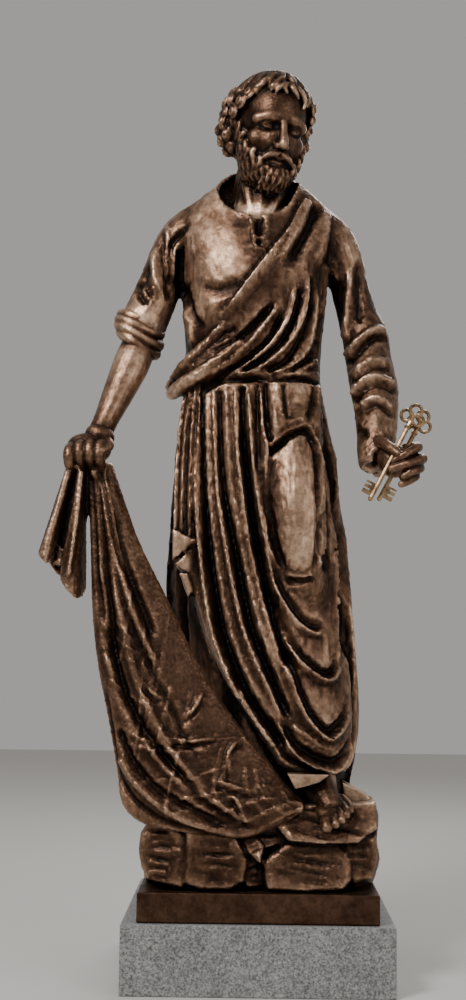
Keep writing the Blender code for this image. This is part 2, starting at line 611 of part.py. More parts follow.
def hoop(centre, lean, radii, thickness, sides=36, round_sides=10, wobble=0.0):
    """A closed roll round a centre: lean holds the Euler angles in degrees of its plane."""
    a = np.linspace(0, 2 * math.pi, sides, endpoint=False)[:, None]
    b = np.linspace(0, 2 * math.pi, round_sides, endpoint=False)[None, :]
    fat = thickness * (1 + wobble * np.sin(3 * a + 1))
    x = (radii[0] + fat * np.cos(b)) * np.cos(a)
    y = (radii[1] + fat * np.cos(b)) * np.sin(a)
    z = fat * np.sin(b) + wobble * 20 * np.sin(2 * a)
    points = np.stack([x, y, z], -1).reshape(-1, 3) @ turned(*lean).T + np.array(centre)
    i, j = np.meshgrid(np.arange(sides), np.arange(round_sides), indexing="ij")
    k, m = (i + 1) % sides, (j + 1) % round_sides
    faces = np.stack([i * round_sides + j, k * round_sides + j, k * round_sides + m, i * round_sides + m], -1)
    return points, faces.reshape(-1, 4).tolist()


# Edges of the main fall of the net, from the fist to the foot, as x, y, z
NET_OUTER = [(-388, -140, 1106), (-377, -150, 964), (-367, -160, 784), (-350, -180, 666), (-324, -196, 549),
             (-302, -212, 444), (-288, -222, 378), (-243, -230, 340), (-160, -236, 324), (-55, -238, 318),
             (30, -236, 334), (92, -228, 370)]
NET_INNER = [(-333, -128, 1118), (-297, -138, 1018), (-262, -146, 932), (-203, -158, 816), (-158, -168, 728),
             (-117, -178, 651), (-72, -188, 586), (-33, -195, 534), (-4, -199, 500), (21, -203, 471),
             (54, -208, 428), (94, -212, 388)]
NET_THICK = 30.0
NET_VALLEYS = [
    ([(-366, 1110), (-344, 963), (-328, 832), (-313, 696), (-293, 620), (-257, 551), (-228, 488)], 15, 22),
    ([(-346, 1104), (-311, 939), (-276, 844), (-246, 776), (-228, 722)], 13, 18),
    ([(-334, 760), (-316, 685), (-285, 604), (-237, 523), (-160, 438), (-107, 387), (-31, 346)], 14, 20),
    ([(-302, 540), (-268, 474), (-212, 415), (-141, 376), (-54, 337)], 12, 17),
    ([(-259, 726), (-228, 650), (-186, 581), (-162, 529), (-114, 466)], 11, 9),
    ([(-376, 1090), (-362, 980), (-352, 850), (-338, 740)], 10, 12),
    ([(-355, 1108), (-326, 970), (-298, 862)], 8, 12),
]
NET_RIDGES = [
    ([(-356, 1100), (-327, 873), (-294, 755), (-266, 650), (-218, 546), (-163, 465), (-84, 378)], 15, 13),
    ([(-338, 1090), (-310, 900), (-281, 800), (-248, 722), (-217, 660)], 12, 12),
    ([(-296, 480), (-254, 420), (-170, 359), (-54, 328), (30, 340)], 12, 12),
    ([(-330, 700), (-292, 616), (-251, 536), (-196, 462), (-125, 405), (-43, 362), (20, 344)], 13, 12),
    ([(-350, 1108), (-318, 960), (-284, 850)], 7, 8), ([(-372, 1104), (-356, 960), (-345, 820)], 9, 9),
]
# Fish caught in the net: the line from head to tail fin, and the body's half width
FISH = [
    ([(-164, 562), (-139, 581), (-122, 611), (-118, 640)], 11),
    ([(-62, 440), (-65, 479), (-53, 508), (-28, 522)], 11),
    ([(-98, 436), (-55, 423), (-3, 410)], 9),
    ([(-206, 524), (-155, 514), (-115, 519), (-84, 527)], 8),
    ([(-58, 408), (-42, 386), (-26, 350)], 9),
    ([(-252, 640), (-226, 612), (-206, 604)], 7),
]


def net_fall():
    """The net's long fall, from the fist to the foot, before its folds."""
    outer, inner = smooth_through(NET_OUTER, 80), smooth_through(NET_INNER, 80)
    s = np.linspace(0, 1, 49)
    swell = np.sin(math.pi * s) ** 0.5
    rings = []
    for n, (a, b) in enumerate(zip(outer, inner)):
        t = n / 79
        thick = NET_THICK * (0.6 + 0.75 * math.sin(math.pi * min(t * 0.7 + 0.1, 1)))
        base = a * (1 - s)[:, None] + b * s[:, None]
        front, behind = base.copy(), base[1:-1][::-1].copy()
        front[:, 1] -= thick * swell
        behind[:, 1] += (thick * swell)[1:-1][::-1]
        rings.append(np.vstack([front, behind]))
    return loft(rings)


TAIL_TOP = [(-432, -146, 1112), (-408, -162, 1116), (-386, -146, 1112)]
TAIL_HEM = [(-490, -160, 912), (-470, -182, 892), (-452, -160, 868), (-432, -186, 846),
            (-394, -176, 808), (-382, -150, 832)]
TAIL_THICK = 24.0


def net_tail():
    """The net's short end below the fist: a pleated bell, open and hollow at the hem."""
    top, hem = smooth_through(TAIL_TOP, 31), smooth_through(TAIL_HEM, 31)
    s = np.linspace(0, 1, 31)
    swell = np.sin(math.pi * s) ** 0.5

    def ring(t, inset, lift):
        base = top * (1 - t) + hem * t
        middle = base.mean(0)
        base = middle + (base - middle) * (1 - inset)
        base[:, 2] += lift
        thick = TAIL_THICK * (0.5 + 0.75 * t) * (1 - inset)
        pleat = 15 * t * np.cos(4 * math.pi * s) * swell * (1 - min(inset * 2.5, 1))
        front, behind = base.copy(), base[1:-1][::-1].copy()
        front[:, 1] -= thick * swell - pleat
        behind[:, 1] += (thick * swell + 0.3 * pleat)[1:-1][::-1]
        return np.vstack([front, behind])

    rings = [ring(t, 0, 0) for t in np.linspace(0, 1, 26)]
    rings += [ring(1, 0.14, 2), ring(0.94, 0.26, 4), ring(0.8, 0.44, 8)]
    return loft(rings)


def fish_outline(line, width, count=14):
    """The outline of a fish along its line: a slim body and a forked tail."""
    spine = smooth_through(line, count)
    along = unit(np.gradient(spine, axis=0))
    side = np.stack([-along[:, 1], along[:, 0]], 1)
    t = np.linspace(0, 1, count)
    half = width * (np.sin(math.pi * np.minimum(t / 0.86, 1)) ** 0.7 + 0.9 * ease(0.8, 1.0, t))[:, None]
    return np.vstack([spine + side * half, (spine - side * half)[::-1]])


def carved_net(grid):
    """The gathered net with its folds and fish, its surface still being carved."""
    c = Carving(fused("net", [net_fall(), net_tail()], grid, 3))
    for line, width, depth in NET_VALLEYS:
        c.stroke(line, width, -depth, "valley", (0.02, 0.12))
    for line, width, height in NET_RIDGES:
        c.stroke(line, width, height, "crest", (0.02, 0.15))
    c.stroke([(-338, 640), (-318, 540), (-300, 452), (-262, 392), (-190, 346), (-90, 324)], 10, -9,
             "valley", (0.1, 0.15))
    c.stroke([(-410, 1100), (-424, 1000), (-444, 880)], 10, -16, "valley", (0.03, 0.01))
    c.stroke([(-424, 1100), (-446, 1000), (-474, 900)], 10, 9, "crest", (0.05, 0.01))
    c.stroke([(-398, 1100), (-404, 980), (-414, 860)], 10, 10, "crest", (0.05, 0.01))
    for line in ([(-290, 1000), (-240, 860), (-150, 700), (-60, 560)],
                 [(-342, 1000), (-300, 780), (-230, 600), (-130, 470)]):
        c.stroke(line, 12, -11, "valley", (0.1, 0.2), "back")
    c.end()
    c.begin()
    for line, width in FISH:
        c.patch(fish_outline(line, width), 8, 9)
        c.stroke([(x - 2, z - width - 4) for x, z in line], 6, -5, "valley", (0.1, 0.1))
    return c


FOREARM = [
    (-272, -24, 1450, 34, 34), (-284, -36, 1408, 39, 40), (-300, -58, 1356, 42, 42),
    (-328, -85, 1280, 35, 36), (-351, -108, 1217, 28, 30), (-364, -118, 1182, 29, 26),
    (-374, -124, 1160, 34, 24),
]


def right_arm():
    """The bare forearm, the rolled sleeve above it and the fist on the net."""
    solids = [
        sweep(FOREARM),
        hoop((-285, -20, 1470), (10, 14, 0), (46, 46), 12, wobble=0.10),
        hoop((-287, -23, 1450), (10, 21, 0), (49, 49), 14, wobble=0.10),
        hoop((-288, -27, 1430), (10, 28, 0), (50, 49), 15, wobble=0.10),
        hoop((-289, -30, 1410), (10, 33, 0), (46, 47), 14, wobble=0.10),
        ball((-288, -28, 1432), (52, 48, 34), (0, 26, 0)),
        ball((-384, -138, 1148), (50, 33, 34), (0, 8, 0)),
        ball((-362, -128, 1178), (34, 26, 26), (0, 20, 0)),
    ]
    for i, drop in enumerate((-8, 0, 2, 0)):
        x = -424 + 22 * i
        solids.append(tube([(x + 8, -146, 1160 + drop, 12), (x + 1, -170, 1148 + drop, 13.5),
                            (x + 1, -177, 1124 + drop, 13), (x + 4, -156, 1106 + drop, 11.5)]))
    solids.append(tube([(-352, -132, 1172, 13), (-338, -160, 1152, 12), (-352, -180, 1136, 10)]))
    return solids


# Each key runs from its bit to its bow, as x, y, z in the drawing
KEY_LINES = [
    ((233.0, -243.0, 1031.0), (322.0, -243.0, 1204.0), -1),
    ((254.0, -225.0, 1033.0), (339.0, -225.0, 1194.0), 1),
]
KEY_RING = 13.0
KEY_WIRE = 3.8


def left_hand():
    """The hand that holds the keys: thumb over the rods, four fingers curled round from the right."""
    fingers = [
        [(318, -176, 1150, 12), (336, -204, 1148, 11.5), (333, -240, 1142, 10.5), (309, -258, 1126, 10),
         (284, -252, 1112, 9)],
        [(322, -178, 1126, 12), (344, -206, 1122, 11.5), (343, -242, 1117, 10.5), (314, -259, 1105, 10),
         (278, -252, 1095, 9)],
        [(320, -180, 1104, 11.5), (340, -206, 1102, 11), (338, -238, 1097, 10), (320, -254, 1088, 9.5),
         (304, -252, 1078, 8.5)],
        [(312, -182, 1084, 11), (330, -206, 1084, 10), (330, -232, 1080, 9.5), (315, -246, 1070, 9),
         (299, -244, 1062, 8)],
    ]
    return [
        tube([(262, -90, 1196, 25), (262, -128, 1160, 25), (272, -160, 1138, 26)]),
        ball((288, -188, 1120), (35, 35, 38), (0, -20, 0)),
        tube([(254, -150, 1170, 14), (262, -196, 1158, 12.5), (276, -236, 1142, 11.5),
              (290, -256, 1127, 9.5)]),
    ] + [tube(f) for f in fingers]


# Boulders: centre, radii and the seed that shakes their cuts
BOULDERS = [
    ((-210, -104, 262), (56, 140, 66), 3),
    ((-86, -168, 262), (80, 88, 60), 5),
    ((-14, -186, 286), (50, 60, 46), 8),
    ((104, -166, 252), (112, 90, 50), 12),
    ((122, -120, 312), (92, 110, 54), 14),
    ((208, -92, 318), (60, 128, 68), 17),
    ((224, -70, 254), (44, 150, 52), 21),
    ((-150, 110, 262), (108, 140, 72), 24),
    ((110, 130, 282), (128, 128, 86), 27),
    ((-10, 120, 258), (110, 136, 86), 31),
    ((-6, -40, 248), (220, 206, 66), 35),
]


def ground():
    return [boulder(*b) for b in BOULDERS]


def prism(outline, front, behind):
    """A flat outline of x and z, as thick as the way from front to behind."""
    flat = np.asarray(outline, float)
    return loft([np.column_stack([flat[:, 0], np.full(len(flat), y), flat[:, 1]]) for y in (front, behind)])


def foot():
    """The bare front foot, the tunic's hem over it and the cloth's end behind it."""
    solids = [
        tube([(130, -84, 490, 42), (130, -130, 442, 37), (136, -172, 406, 34), (150, -208, 380, 28)]),
        ball((156, -214, 368), (39, 46, 20), (20, 12, 0)),
        tube([(44, -186, 447, 7), (78, -206, 421, 9), (112, -214, 428, 8), (146, -206, 444, 7)]),
        prism([(44, 452), (148, 450), (134, 430), (112, 422), (78, 414)], -208, -150),
        prism([(180, 424), (240, 393), (236, 381), (186, 378)], -160, -70),
    ]
    for x, y, z, r in ((141, -268, 343, 13), (159, -266, 349, 10), (172, -260, 357, 9.5),
                       (183, -250, 366, 9), (192, -238, 374, 8)):
        solids.append(tube([(x * 0.6 + 62, y + 48, z + 22, r), (x - 1, y + 14, z + 9, r),
                            (x, y, z, r * 0.92)]))
    return solids


HEAD_AT = np.array((16.0, -36.0, 1920.0))
HEAD_SCALE = 1.05
HEAD_BOW = 12.0
HEAD_LEAN = 6.0
HEAD_TURN = 22.0


def head_frame():
    return turned(0, HEAD_LEAN, 0) @ turned(0, 0, HEAD_TURN) @ turned(HEAD_BOW, 0, 0)


SKULL_AT = np.array((0.0, 14.0, 32.0))
SKULL = np.array((77.0, 95.0, 86.0))


def on_skull(polar, around, over):
    """Points over the skull: degrees down from the crown, degrees round from the face, share above it."""
    a, b = np.radians(polar), np.radians(around)
    ray = np.stack([np.sin(a) * np.sin(b), -np.sin(a) * np.cos(b), np.cos(a)], -1)
    return SKULL_AT + SKULL * ray * np.asarray(over)[..., None]


def curl(centre, out, size, thick, turns, phase, steps=13):
    """A curl of hair: a strand wound inwards about the direction out, and rising as it goes."""
    out = unit(out)
    level = unit(np.cross(out, (0.0, 0.0, 1.0)))
    upright = np.cross(level, out)
    t = np.linspace(0, 1, steps)[:, None]
    turn = phase + 2 * math.pi * turns * t
    wound = (level * np.cos(turn) + upright * np.sin(turn)) * size * (1 - 0.62 * t)
    path = centre + wound + out * thick * 0.9 * t
    return domed(np.hstack([path, thick * (1 - 0.35 * t)]), steps)


def hairline(around):
    """Degrees down from the crown where the hair ends, at a number of degrees round from the face."""
    facing = abs(around)
    return 57 if facing < 30 else 57 + (facing - 30) * 0.75 if facing < 62 else 84


def hair():
    """Wavy strands combed down from the crown, then rows of curls over the temples, the ears and the nape."""
    runs = []
    strands_round = 46
    t = np.linspace(0, 1, 17)
    for n in range(strands_round):
        around = -180 + 360 * (n + 0.5) / strands_round
        facing = abs(around)
        polar = 4 + (hairline(around) - 4) * t
        swing = around + (20 * t * math.copysign(1, around)) * (facing < 75) + 6 * np.sin(7 * t + n * 1.9) * t
        over = 1.08 + 0.035 * np.sin(9.5 * t + n * 2.3) * t + 0.10 * (facing > 60) * t**2
        thick = 9.0 * (1 - 0.3 * t**3)
        runs.append(domed(np.column_stack([on_skull(polar, swing, over), thick]), 17))
    for row, polar in enumerate((58, 71, 84, 97, 110, 122)):
        for n in range(24):
            around = -180 + 360 * (n + 0.5 * (row % 2)) / 24
            front = (50, 58, 66, 74, 84, 104)[row]
            if abs(around) < front:
                continue
            bulge = math.exp(-((around + 110) / 34) ** 2) * math.sin(math.pi * (polar - 55) / 70)
            flare = 1.13 + 0.09 * math.sin(math.pi * row / 5) + 0.02 * math.sin(3.1 * n + row) + 0.24 * bulge
            flare += 0.07 * (0 < around < 110)
            centre = on_skull(polar, around, flare)
            out = centre - SKULL_AT
            size = 13 + 2.5 * math.sin(n * 2.7 + row)
            runs.append(curl(centre - unit(out) * 7, out, size, 7.6, 1.25, 1.7 * n + row))
    # Fuller curls over the ears
    for centre, radii, count in (((-58, 30, -42), (48, 46, 58), 34), ((60, 8, -40), (36, 46, 52), 26)):
        n = np.arange(count) + 0.5
        lift = 1 - 2 * n / count
        swing = n * math.pi * (3 - math.sqrt(5))
        flat = np.sqrt(1 - lift**2)
        for k, ray in enumerate(np.stack([flat * np.cos(swing), flat * np.sin(swing), lift], 1)):
            if ray[0] * centre[0] > -12 and ray[1] > -0.75:
                runs.append(curl(SKULL_AT + centre + ray * radii - ray * 3, ray, 13, 7.0, 1.2, 2.1 * k))
    # Short locks over the forehead, one of them longer
    locks = ((-30, 62), (-16, 64), (-2, 62), (12, 66), (26, 78), (38, 70), (50, 72))
    for k, (around, end) in enumerate(locks):
        turn = np.linspace(0, 1, 9)
        polar = 46 + (end - 46) * turn
        swing = around + 7 * np.sin(3.4 * turn + k * 1.3)
        over = 1.06 + 0.05 * np.sin(math.pi * turn)
        runs.append(domed(np.column_stack([on_skull(polar, swing, over), 7.5 * (1 - 0.55 * turn**2)]), 9))
    return [ball(SKULL_AT + (0, -4, -2), (84, 82, 88)), ball(SKULL_AT + (0, 16, -54), (84, 72, 68)),
            ball(SKULL_AT + (-58, 30, -42), (46, 44, 56)), ball(SKULL_AT + (60, 8, -40), (34, 44, 50)),
            strands(runs, 1)]


def beard():
    """A short full beard of wavy locks from ear to ear, and a moustache over the lip."""
    runs = []
    rows = ((-26, 72, 44, 74), (-44, 70, 56, 62), (-60, 66, 62, 48), (-76, 60, 64, 34), (-92, 52, 62, 0),
            (-106, 42, 56, 0), (-118, 30, 44, 0))
    t = np.linspace(0, 1, 8)[:, None]
    for row, (z, width, depth, gap) in enumerate(rows):
        count = (13, 15, 17, 18, 18, 14, 9)[row]
        for n in range(count):
            around = -106 + 212 * (n + 0.5 * (1 + row % 2) * 0.66) / count
            if abs(around) < gap:
                continue
            a = math.radians(around)
            out = np.array((math.sin(a), -math.cos(a), 0.0))
            side = np.array((math.cos(a), math.sin(a), 0.0))
            root = np.array((width * math.sin(a), -24 - depth * math.cos(a), z))
            path = root + t * (-4 * math.sin(a), 3, -30) + out * 4 * np.sin(math.pi * t)
            path = path + side * 2.6 * np.sin(2 * math.pi * t * 1.1 + 1.9 * n + row)
            runs.append(domed(np.hstack([path, 7.4 * (1 - 0.45 * t**2)]), 8))
    for side in (-1, 1):
        for k in range(4):
            runs.append(domed([(side * 2, -95 + k, -57 - 1.5 * k, 3.5),
                               (side * 12, -96 + k, -60 - 2 * k, 4.2),
                               (side * 24, -90 + k, -65 - 3 * k, 4.0),
                               (side * (38 + k), -76 + k, -76 - 4 * k, 2.8)], 9))
    # Small locks under the lower lip and over the chin
    for row, (z, width) in enumerate(((-88, 20), (-98, 34), (-110, 36))):
        for n in range(5 + row):
            share = (n + 0.5) / (5 + row) * 2 - 1
            x = width * share
            y = -88 - 6 * row + 20 * share**2
            runs.append(domed([(x, y, z, 6), (x + 2.5 * math.sin(n * 2 + row), y - 4, z - 12, 6.4),
                               (x - 2 * math.sin(n * 2 + row), y + 1, z - 24, 4)], 7))
    return [ball((0, -44, -100), (46, 46, 30)), ball((0, -22, -68), (68, 52, 38)), strands(runs, 1)]


def face():
    """The skull, jaw, brow and cheeks: eyes at half the head's height, the nose's base at three quarters."""
    solids = [
        ball(SKULL_AT, SKULL, sides=32, rows=20),
        ball((0, -28, -40), (60, 58, 74), sides=32, rows=20),
        ball((0, -40, -80), (44, 46, 38)),
        ball((0, -70, -100), (22, 20, 17)),
        tube([(-50, -52, 12, 13), (-32, -68, 18, 13), (0, -73, 18, 12), (32, -68, 18, 13),
              (50, -52, 12, 13)]),
    ]
    for side in (-1, 1):
        solids.append(ball((side * 35, -40, -32), (32, 32, 30)))
    return solids


def features():
    """Nose, lips and ears."""
    solids = [
        tube([(0, -76, 16, 9), (0, -90, -10, 8.5), (0, -103, -34, 10), (0, -106, -41, 10.5)]),
        tube([(-22, -84, -73, 3.5), (-8, -92, -69, 5), (0, -94, -70, 4.6), (8, -92, -69, 5),
              (22, -84, -73, 3.5)]),
        tube([(-18, -84, -77, 4), (0, -91, -80, 6.5), (18, -84, -77, 4)]),
    ]
    for side in (-1, 1):
        solids += [ball((side * 11, -94, -43), (8, 12, 7.5)), ball((side * 76, 6, -12), (8, 17, 30))]
    return solids


def eyes():
    """Eyeballs with an upper and a lower lid and the line of the brow."""
    solids = []
    for side in (-1, 1):
        solids += [
            ball((side * 31, -62, -1), (13, 13, 12.5)),
            tube([(side * 47, -60, -3, 2.6), (side * 40, -71, 5, 3.4), (side * 29, -75.5, 8, 3.6),
                  (side * 19, -71, 3, 3), (side * 15, -70, -3, 2)]),
            tube([(side * 46, -61, -4, 2.4), (side * 33, -73, -10, 2.8), (side * 18, -70, -5, 2.2)]),
            tube([(side * 54, -52, 12, 3), (side * 38, -70, 21, 4.6), (side * 15, -79, 17, 4)]),
        ]
    return solids


def head(grid):
    """The head with sunk eye sockets, as solids in the figure's drawing."""
    c = Carving(fused("head", face(), grid, round(130 / grid**2)))
    for side in (-1, 1):
        c.dent((side * 31, -76, 0), (25, 34, 17), (0, 17, 0))
        c.dent((side * 36, -74, -62), (18, 34, 26), (0, 8, 0))
    c.end()
    solids = [solid_of(fused("head", [solid_of(c.obj)] + features(), grid, round(22 / grid**2)))]
    solids += eyes() + hair() + beard()
    return [(p * HEAD_SCALE @ head_frame().T + HEAD_AT, f) for p, f in solids]


COLLAR_AT = (-16, -15, 1772)
COLLAR_LEAN = (43, 2, 0)
COLLAR_RADII = (94, 120)


def neck():
    return [
        tube([(-6, 2, 1706, 74), (0, 8, 1770, 64), (8, 2, 1832, 57), (14, -8, 1890, 52)]),
        tube([(-38, 0, 1866, 17), (-36, -28, 1790, 17), (-24, -52, 1712, 16)]),
        tube([(54, -16, 1836, 16), (40, -34, 1776, 16), (12, -54, 1712, 16)]),
    ]


def collar():
    return [hoop(COLLAR_AT, COLLAR_LEAN, COLLAR_RADII, 7, sides=60)]


def bundle():
    """The mantle's gathered folds at the hip, ending in two rounded ends."""
    return [
        tube([(-200, -40, 1326, 14), (-174, -82, 1348, 16), (-132, -106, 1386, 15), (-90, -118, 1424, 9)]),
        tube([(-186, -44, 1312, 16), (-160, -84, 1332, 18), (-120, -104, 1364, 18), (-70, -112, 1410, 12)]),
        tube([(-206, -36, 1292, 16), (-176, -84, 1305, 19), (-122, -112, 1336, 18), (-52, -128, 1390, 11)]),
        tube([(-204, -20, 1310, 20), (-196, 40, 1322, 16), (-150, 104, 1350, 12), (-70, 138, 1420, 9)]),
    ]


def drapery(grid):
    """The robe with its carved folds, the collar and the gathered mantle."""
    robe = carve_robe(fused("robe", robe_masses(), ROBE_GRID, ROBE_BLEND))
    c = Carving(robe)
    c.dent((258, -146, 1126), (38, 38, 30), (-2, 34, 44))
    c.hollow(COLLAR_AT, COLLAR_LEAN, COLLAR_RADII, 26)
    c.end()
    return [solid_of(robe)] + collar() + bundle()


def whole_figure(grid, head_grid):
    net = carved_net(grid)
    net.end()
    solids = drapery(grid) + [solid_of(net.obj)] + right_arm() + left_hand() + ground() + foot()
    solids += neck() + head(head_grid)
    return fused("saint_figure", solids, grid, 1)


def placed(solid):
    """A drawn solid in metres, standing on the slab."""
    points = (np.asarray(solid[0], float) - (0, 0, FOOT_MM)) * MM
    return points + (0, 0, SLAB_TOP), solid[1]


def cut(obj, tool, how, solver="EXACT"):
    """The object after a union or difference with the tool, which is removed."""
    knife = obj.modifiers.new("Cut", "BOOLEAN")
    knife.operation = how
    knife.solver = solver
    knife.object = tool
    apply_modifiers(obj)
    bpy.data.objects.remove(tool)
    return obj


def one_body(obj):
    """The object without the loose chips that a cut has set free."""
    grown = bmesh.new()
    grown.from_mesh(obj.data)
    left = set(grown.verts)
    bodies = []
    while left:
        body, front = set(), [left.pop()]
        while front:
            point = front.pop()
            body.add(point)
            for edge in point.link_edges:
                other = edge.other_vert(point)
                if other in left:
                    left.remove(other)
                    front.append(other)
        bodies.append(body)
    bodies.sort(key=len)
    chips = [point for body in bodies[:-1] for point in body]
    bmesh.ops.delete(grown, geom=chips, context="VERTS")
    grown.to_mesh(obj.data)
    grown.free()
    return obj


def block(name, low, high, edge, segments=1):
    """A box between two corners with its edges taken off."""
    low, high = np.array(low), np.array(high)
    points, faces = primitive(bmesh.ops.create_cube, size=1.0)
    made = object_of(name, (points * (high - low) + (low + high) / 2, faces))
    if edge:
        soft = made.modifiers.new("Edge", "BEVEL")
        soft.width = edge
        soft.segments = segments
        apply_modifiers(made)
    return made


def key_frame(low, high):
    """Where a key stands: its bit's end, its directions across, forward and along, and its length."""
    low, high = placed((np.array((low, high)), []))[0]
    along = unit(high - low)
    forward = np.array((0.0, -1.0, 0.0))
    across = np.cross(along, forward)
    return low, np.stack([across, -forward, along], 1), float(np.linalg.norm(high - low))


def rod(radius, low, high):
    """A round bar along z."""
    points, faces = primitive(bmesh.ops.create_cone, cap_ends=True, segments=KEY_SIDES,
                              radius1=radius, radius2=radius, depth=high - low)
    return points + (0, 0, (high + low) / 2), faces


def ring(x, y, z, radius, wire):
    """A ring that stands upright in the key's plane."""
    bpy.ops.mesh.primitive_torus_add(major_segments=KEY_BOW_SIDES, minor_segments=6, major_radius=radius,
                                     minor_radius=wire)
    points, faces = solid_of(bpy.context.object)
    return points @ turned(90, 0, 0).T + (x, y, z), faces


def key(name, low, high, hand):
    """A key with a three-ring bow, a collar and a notched bit; hand is the side its bit is on."""
    start, frame, length = key_frame(low, high)
    bow, wire = KEY_RING * MM, KEY_WIRE * MM
    made = object_of(name, rod(KEY_ROD, 0, length - bow * 0.5))
    parts = [
        ring(0, 0.4 * MM, length + bow * 1.5, bow, wire),
        ring(-bow, -0.3 * MM, length + bow * 0.1, bow * 0.98, wire * 0.97),
        ring(bow, -0.7 * MM, length + bow * 0.13, bow * 0.96, wire * 0.94),
        ball((0, 0, length - bow * 1.6), (KEY_ROD * 1.7, KEY_ROD * 1.7, KEY_ROD), sides=8, rows=4),
        ball((0, 0, 0), (KEY_ROD * 1.25, KEY_ROD * 1.25, KEY_ROD * 1.25), (0, 0, 10), sides=8, rows=4),
    ]
    for part in parts:
        cut(made, object_of("part", part), "UNION")
    reach, tall, thick = 25 * MM * hand, 28 * MM, 2.6 * MM
    plate = block("bit", (min(0, reach), -thick, 5 * MM), (max(0, reach), thick, 5 * MM + tall), 0)
    for step in (9 * MM, 20 * MM):
        near, far = reach * 0.45, reach * 1.2
        notch = block("notch", (min(near, far), -2 * thick, 5 * MM + step),
                      (max(near, far), 2 * thick, 5 * MM + step + 4 * MM), 0)
        cut(plate, notch, "DIFFERENCE")
    cut(made, plate, "UNION")
    matrix = Matrix(frame.tolist()).to_4x4()
    matrix.translation = start
    made.matrix_world = matrix
    return made


def bore(low, high):
    """The rod's passage through the hand, wider than the rod by the play."""
    start, frame, length = key_frame(low, high)
    points, faces = rod(KEY_ROD + KEY_PLAY, 32 * MM, length - 14 * MM)
    return object_of("bore", (points @ frame.T + start, faces))


def metal(name, colour, roughness):
    made = bpy.data.materials.new(name)
    made.use_nodes = True
    surface = made.node_tree.nodes["Principled BSDF"]
    surface.inputs["Base Color"].default_value = (*colour, 1)
    surface.inputs["Metallic"].default_value = 0.0 if name == "granite" else 1.0
    surface.inputs["Roughness"].default_value = roughness
    return made


def finish(obj, material, home, origin):
    """Puts an object in the collection with its own origin, its material and its smooth faces."""
    for old_home in list(obj.users_collection):
        old_home.objects.unlink(obj)
    home.objects.link(obj)
    if origin is not None:
        obj.data.transform(Matrix.Translation([-v for v in origin]))
        obj.location = origin
    obj.data.materials.clear()
    obj.data.materials.append(material)
    for face in obj.data.polygons:
        face.material_index = 0


def build():
    home = bpy.data.collections.new("saint_with_net_and_keys")
    bpy.context.scene.collection.children.link(home)

    granite = block("granite_base", (-GRANITE_WIDTH / 2, -GRANITE_DEPTH / 2, 0),
                    (GRANITE_WIDTH / 2, GRANITE_DEPTH / 2, GRANITE_HEIGHT), GRANITE_EDGE, 2)
    finish(granite, metal("granite", (0.32, 0.32, 0.32), 0.6), home, (0, 0, 0))

    drawn = thinned(whole_figure(BODY_GRID, HEAD_GRID), BODY_TRIANGLES)
    figure = object_of("saint_figure", placed(solid_of(drawn)))
    foot_z = SLAB_TOP - SLAB_HEIGHT
    slab = block("slab", (-SLAB_WIDTH / 2, -SLAB_DEPTH / 2, foot_z),
                 (SLAB_WIDTH / 2, SLAB_DEPTH / 2, SLAB_TOP), SLAB_EDGE)
    cut(figure, slab, "UNION", "MANIFOLD")
    for low, high, _ in KEY_LINES:
        cut(figure, bore(low, high), "DIFFERENCE", "MANIFOLD")
    one_body(figure)
    finish(figure, metal("bronze", (0.26, 0.16, 0.10), 0.42), home, (0, 0, foot_z))

    gilt = metal("gilt_bronze", (0.55, 0.40, 0.20), 0.3)
    for n, (low, high, hand) in enumerate(KEY_LINES):
        finish(key(("key_left", "key_right")[n], low, high, hand), gilt, home, None)


for old in list(bpy.data.objects):
    bpy.data.objects.remove(old)
build()
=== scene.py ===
"""The looks of the bronze saint: fine relief, patina, granite, floor, light and camera."""
import math

import bmesh
import bpy
import numpy as np
from mathutils import Matrix, Vector


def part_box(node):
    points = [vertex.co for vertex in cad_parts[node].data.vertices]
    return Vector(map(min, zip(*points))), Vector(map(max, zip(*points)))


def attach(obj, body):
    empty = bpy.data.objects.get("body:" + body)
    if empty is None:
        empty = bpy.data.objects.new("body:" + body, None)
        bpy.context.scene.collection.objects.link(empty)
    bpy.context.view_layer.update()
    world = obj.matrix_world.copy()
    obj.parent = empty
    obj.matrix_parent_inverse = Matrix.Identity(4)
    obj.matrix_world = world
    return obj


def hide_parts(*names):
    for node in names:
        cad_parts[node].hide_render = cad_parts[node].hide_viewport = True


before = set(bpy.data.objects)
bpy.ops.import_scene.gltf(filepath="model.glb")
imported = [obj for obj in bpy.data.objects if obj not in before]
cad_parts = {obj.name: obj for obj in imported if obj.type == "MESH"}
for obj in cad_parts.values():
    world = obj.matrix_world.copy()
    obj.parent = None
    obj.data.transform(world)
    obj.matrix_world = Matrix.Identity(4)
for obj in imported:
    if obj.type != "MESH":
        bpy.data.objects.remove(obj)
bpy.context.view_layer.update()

# The figure is drawn in millimetres: the crown at CROWN_MM, the slab's top at FOOT_MM
FOOT_MM = 206.0
CROWN_MM = 2082.0
FIGURE_HEIGHT = 1.876
MM = FIGURE_HEIGHT / (CROWN_MM - FOOT_MM)
SLAB_JOINT = 0.0003
SLAB_HEIGHT = 0.062
SLAB_SIZE = (0.503, 0.536)
SLAB_EDGE = 0.004
SLAB_WEAR = 0.49
GRANITE_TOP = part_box("granite_base")[1].z
SLAB_TOP = GRANITE_TOP + SLAB_JOINT + SLAB_HEIGHT

COARSE = 1.0
ROBE_GRID = 3.8 * COARSE
ROBE_BLEND = 30
CLOTH_GRID = 3.6 * COARSE
HEAD_GRID = 2.0 * COARSE
HAND_GRID = 2.0 * COARSE
NET_GRID = 3.0 * COARSE
ROCK_GRID = 3.4 * COARSE
PIECE_TRIANGLES = 190000


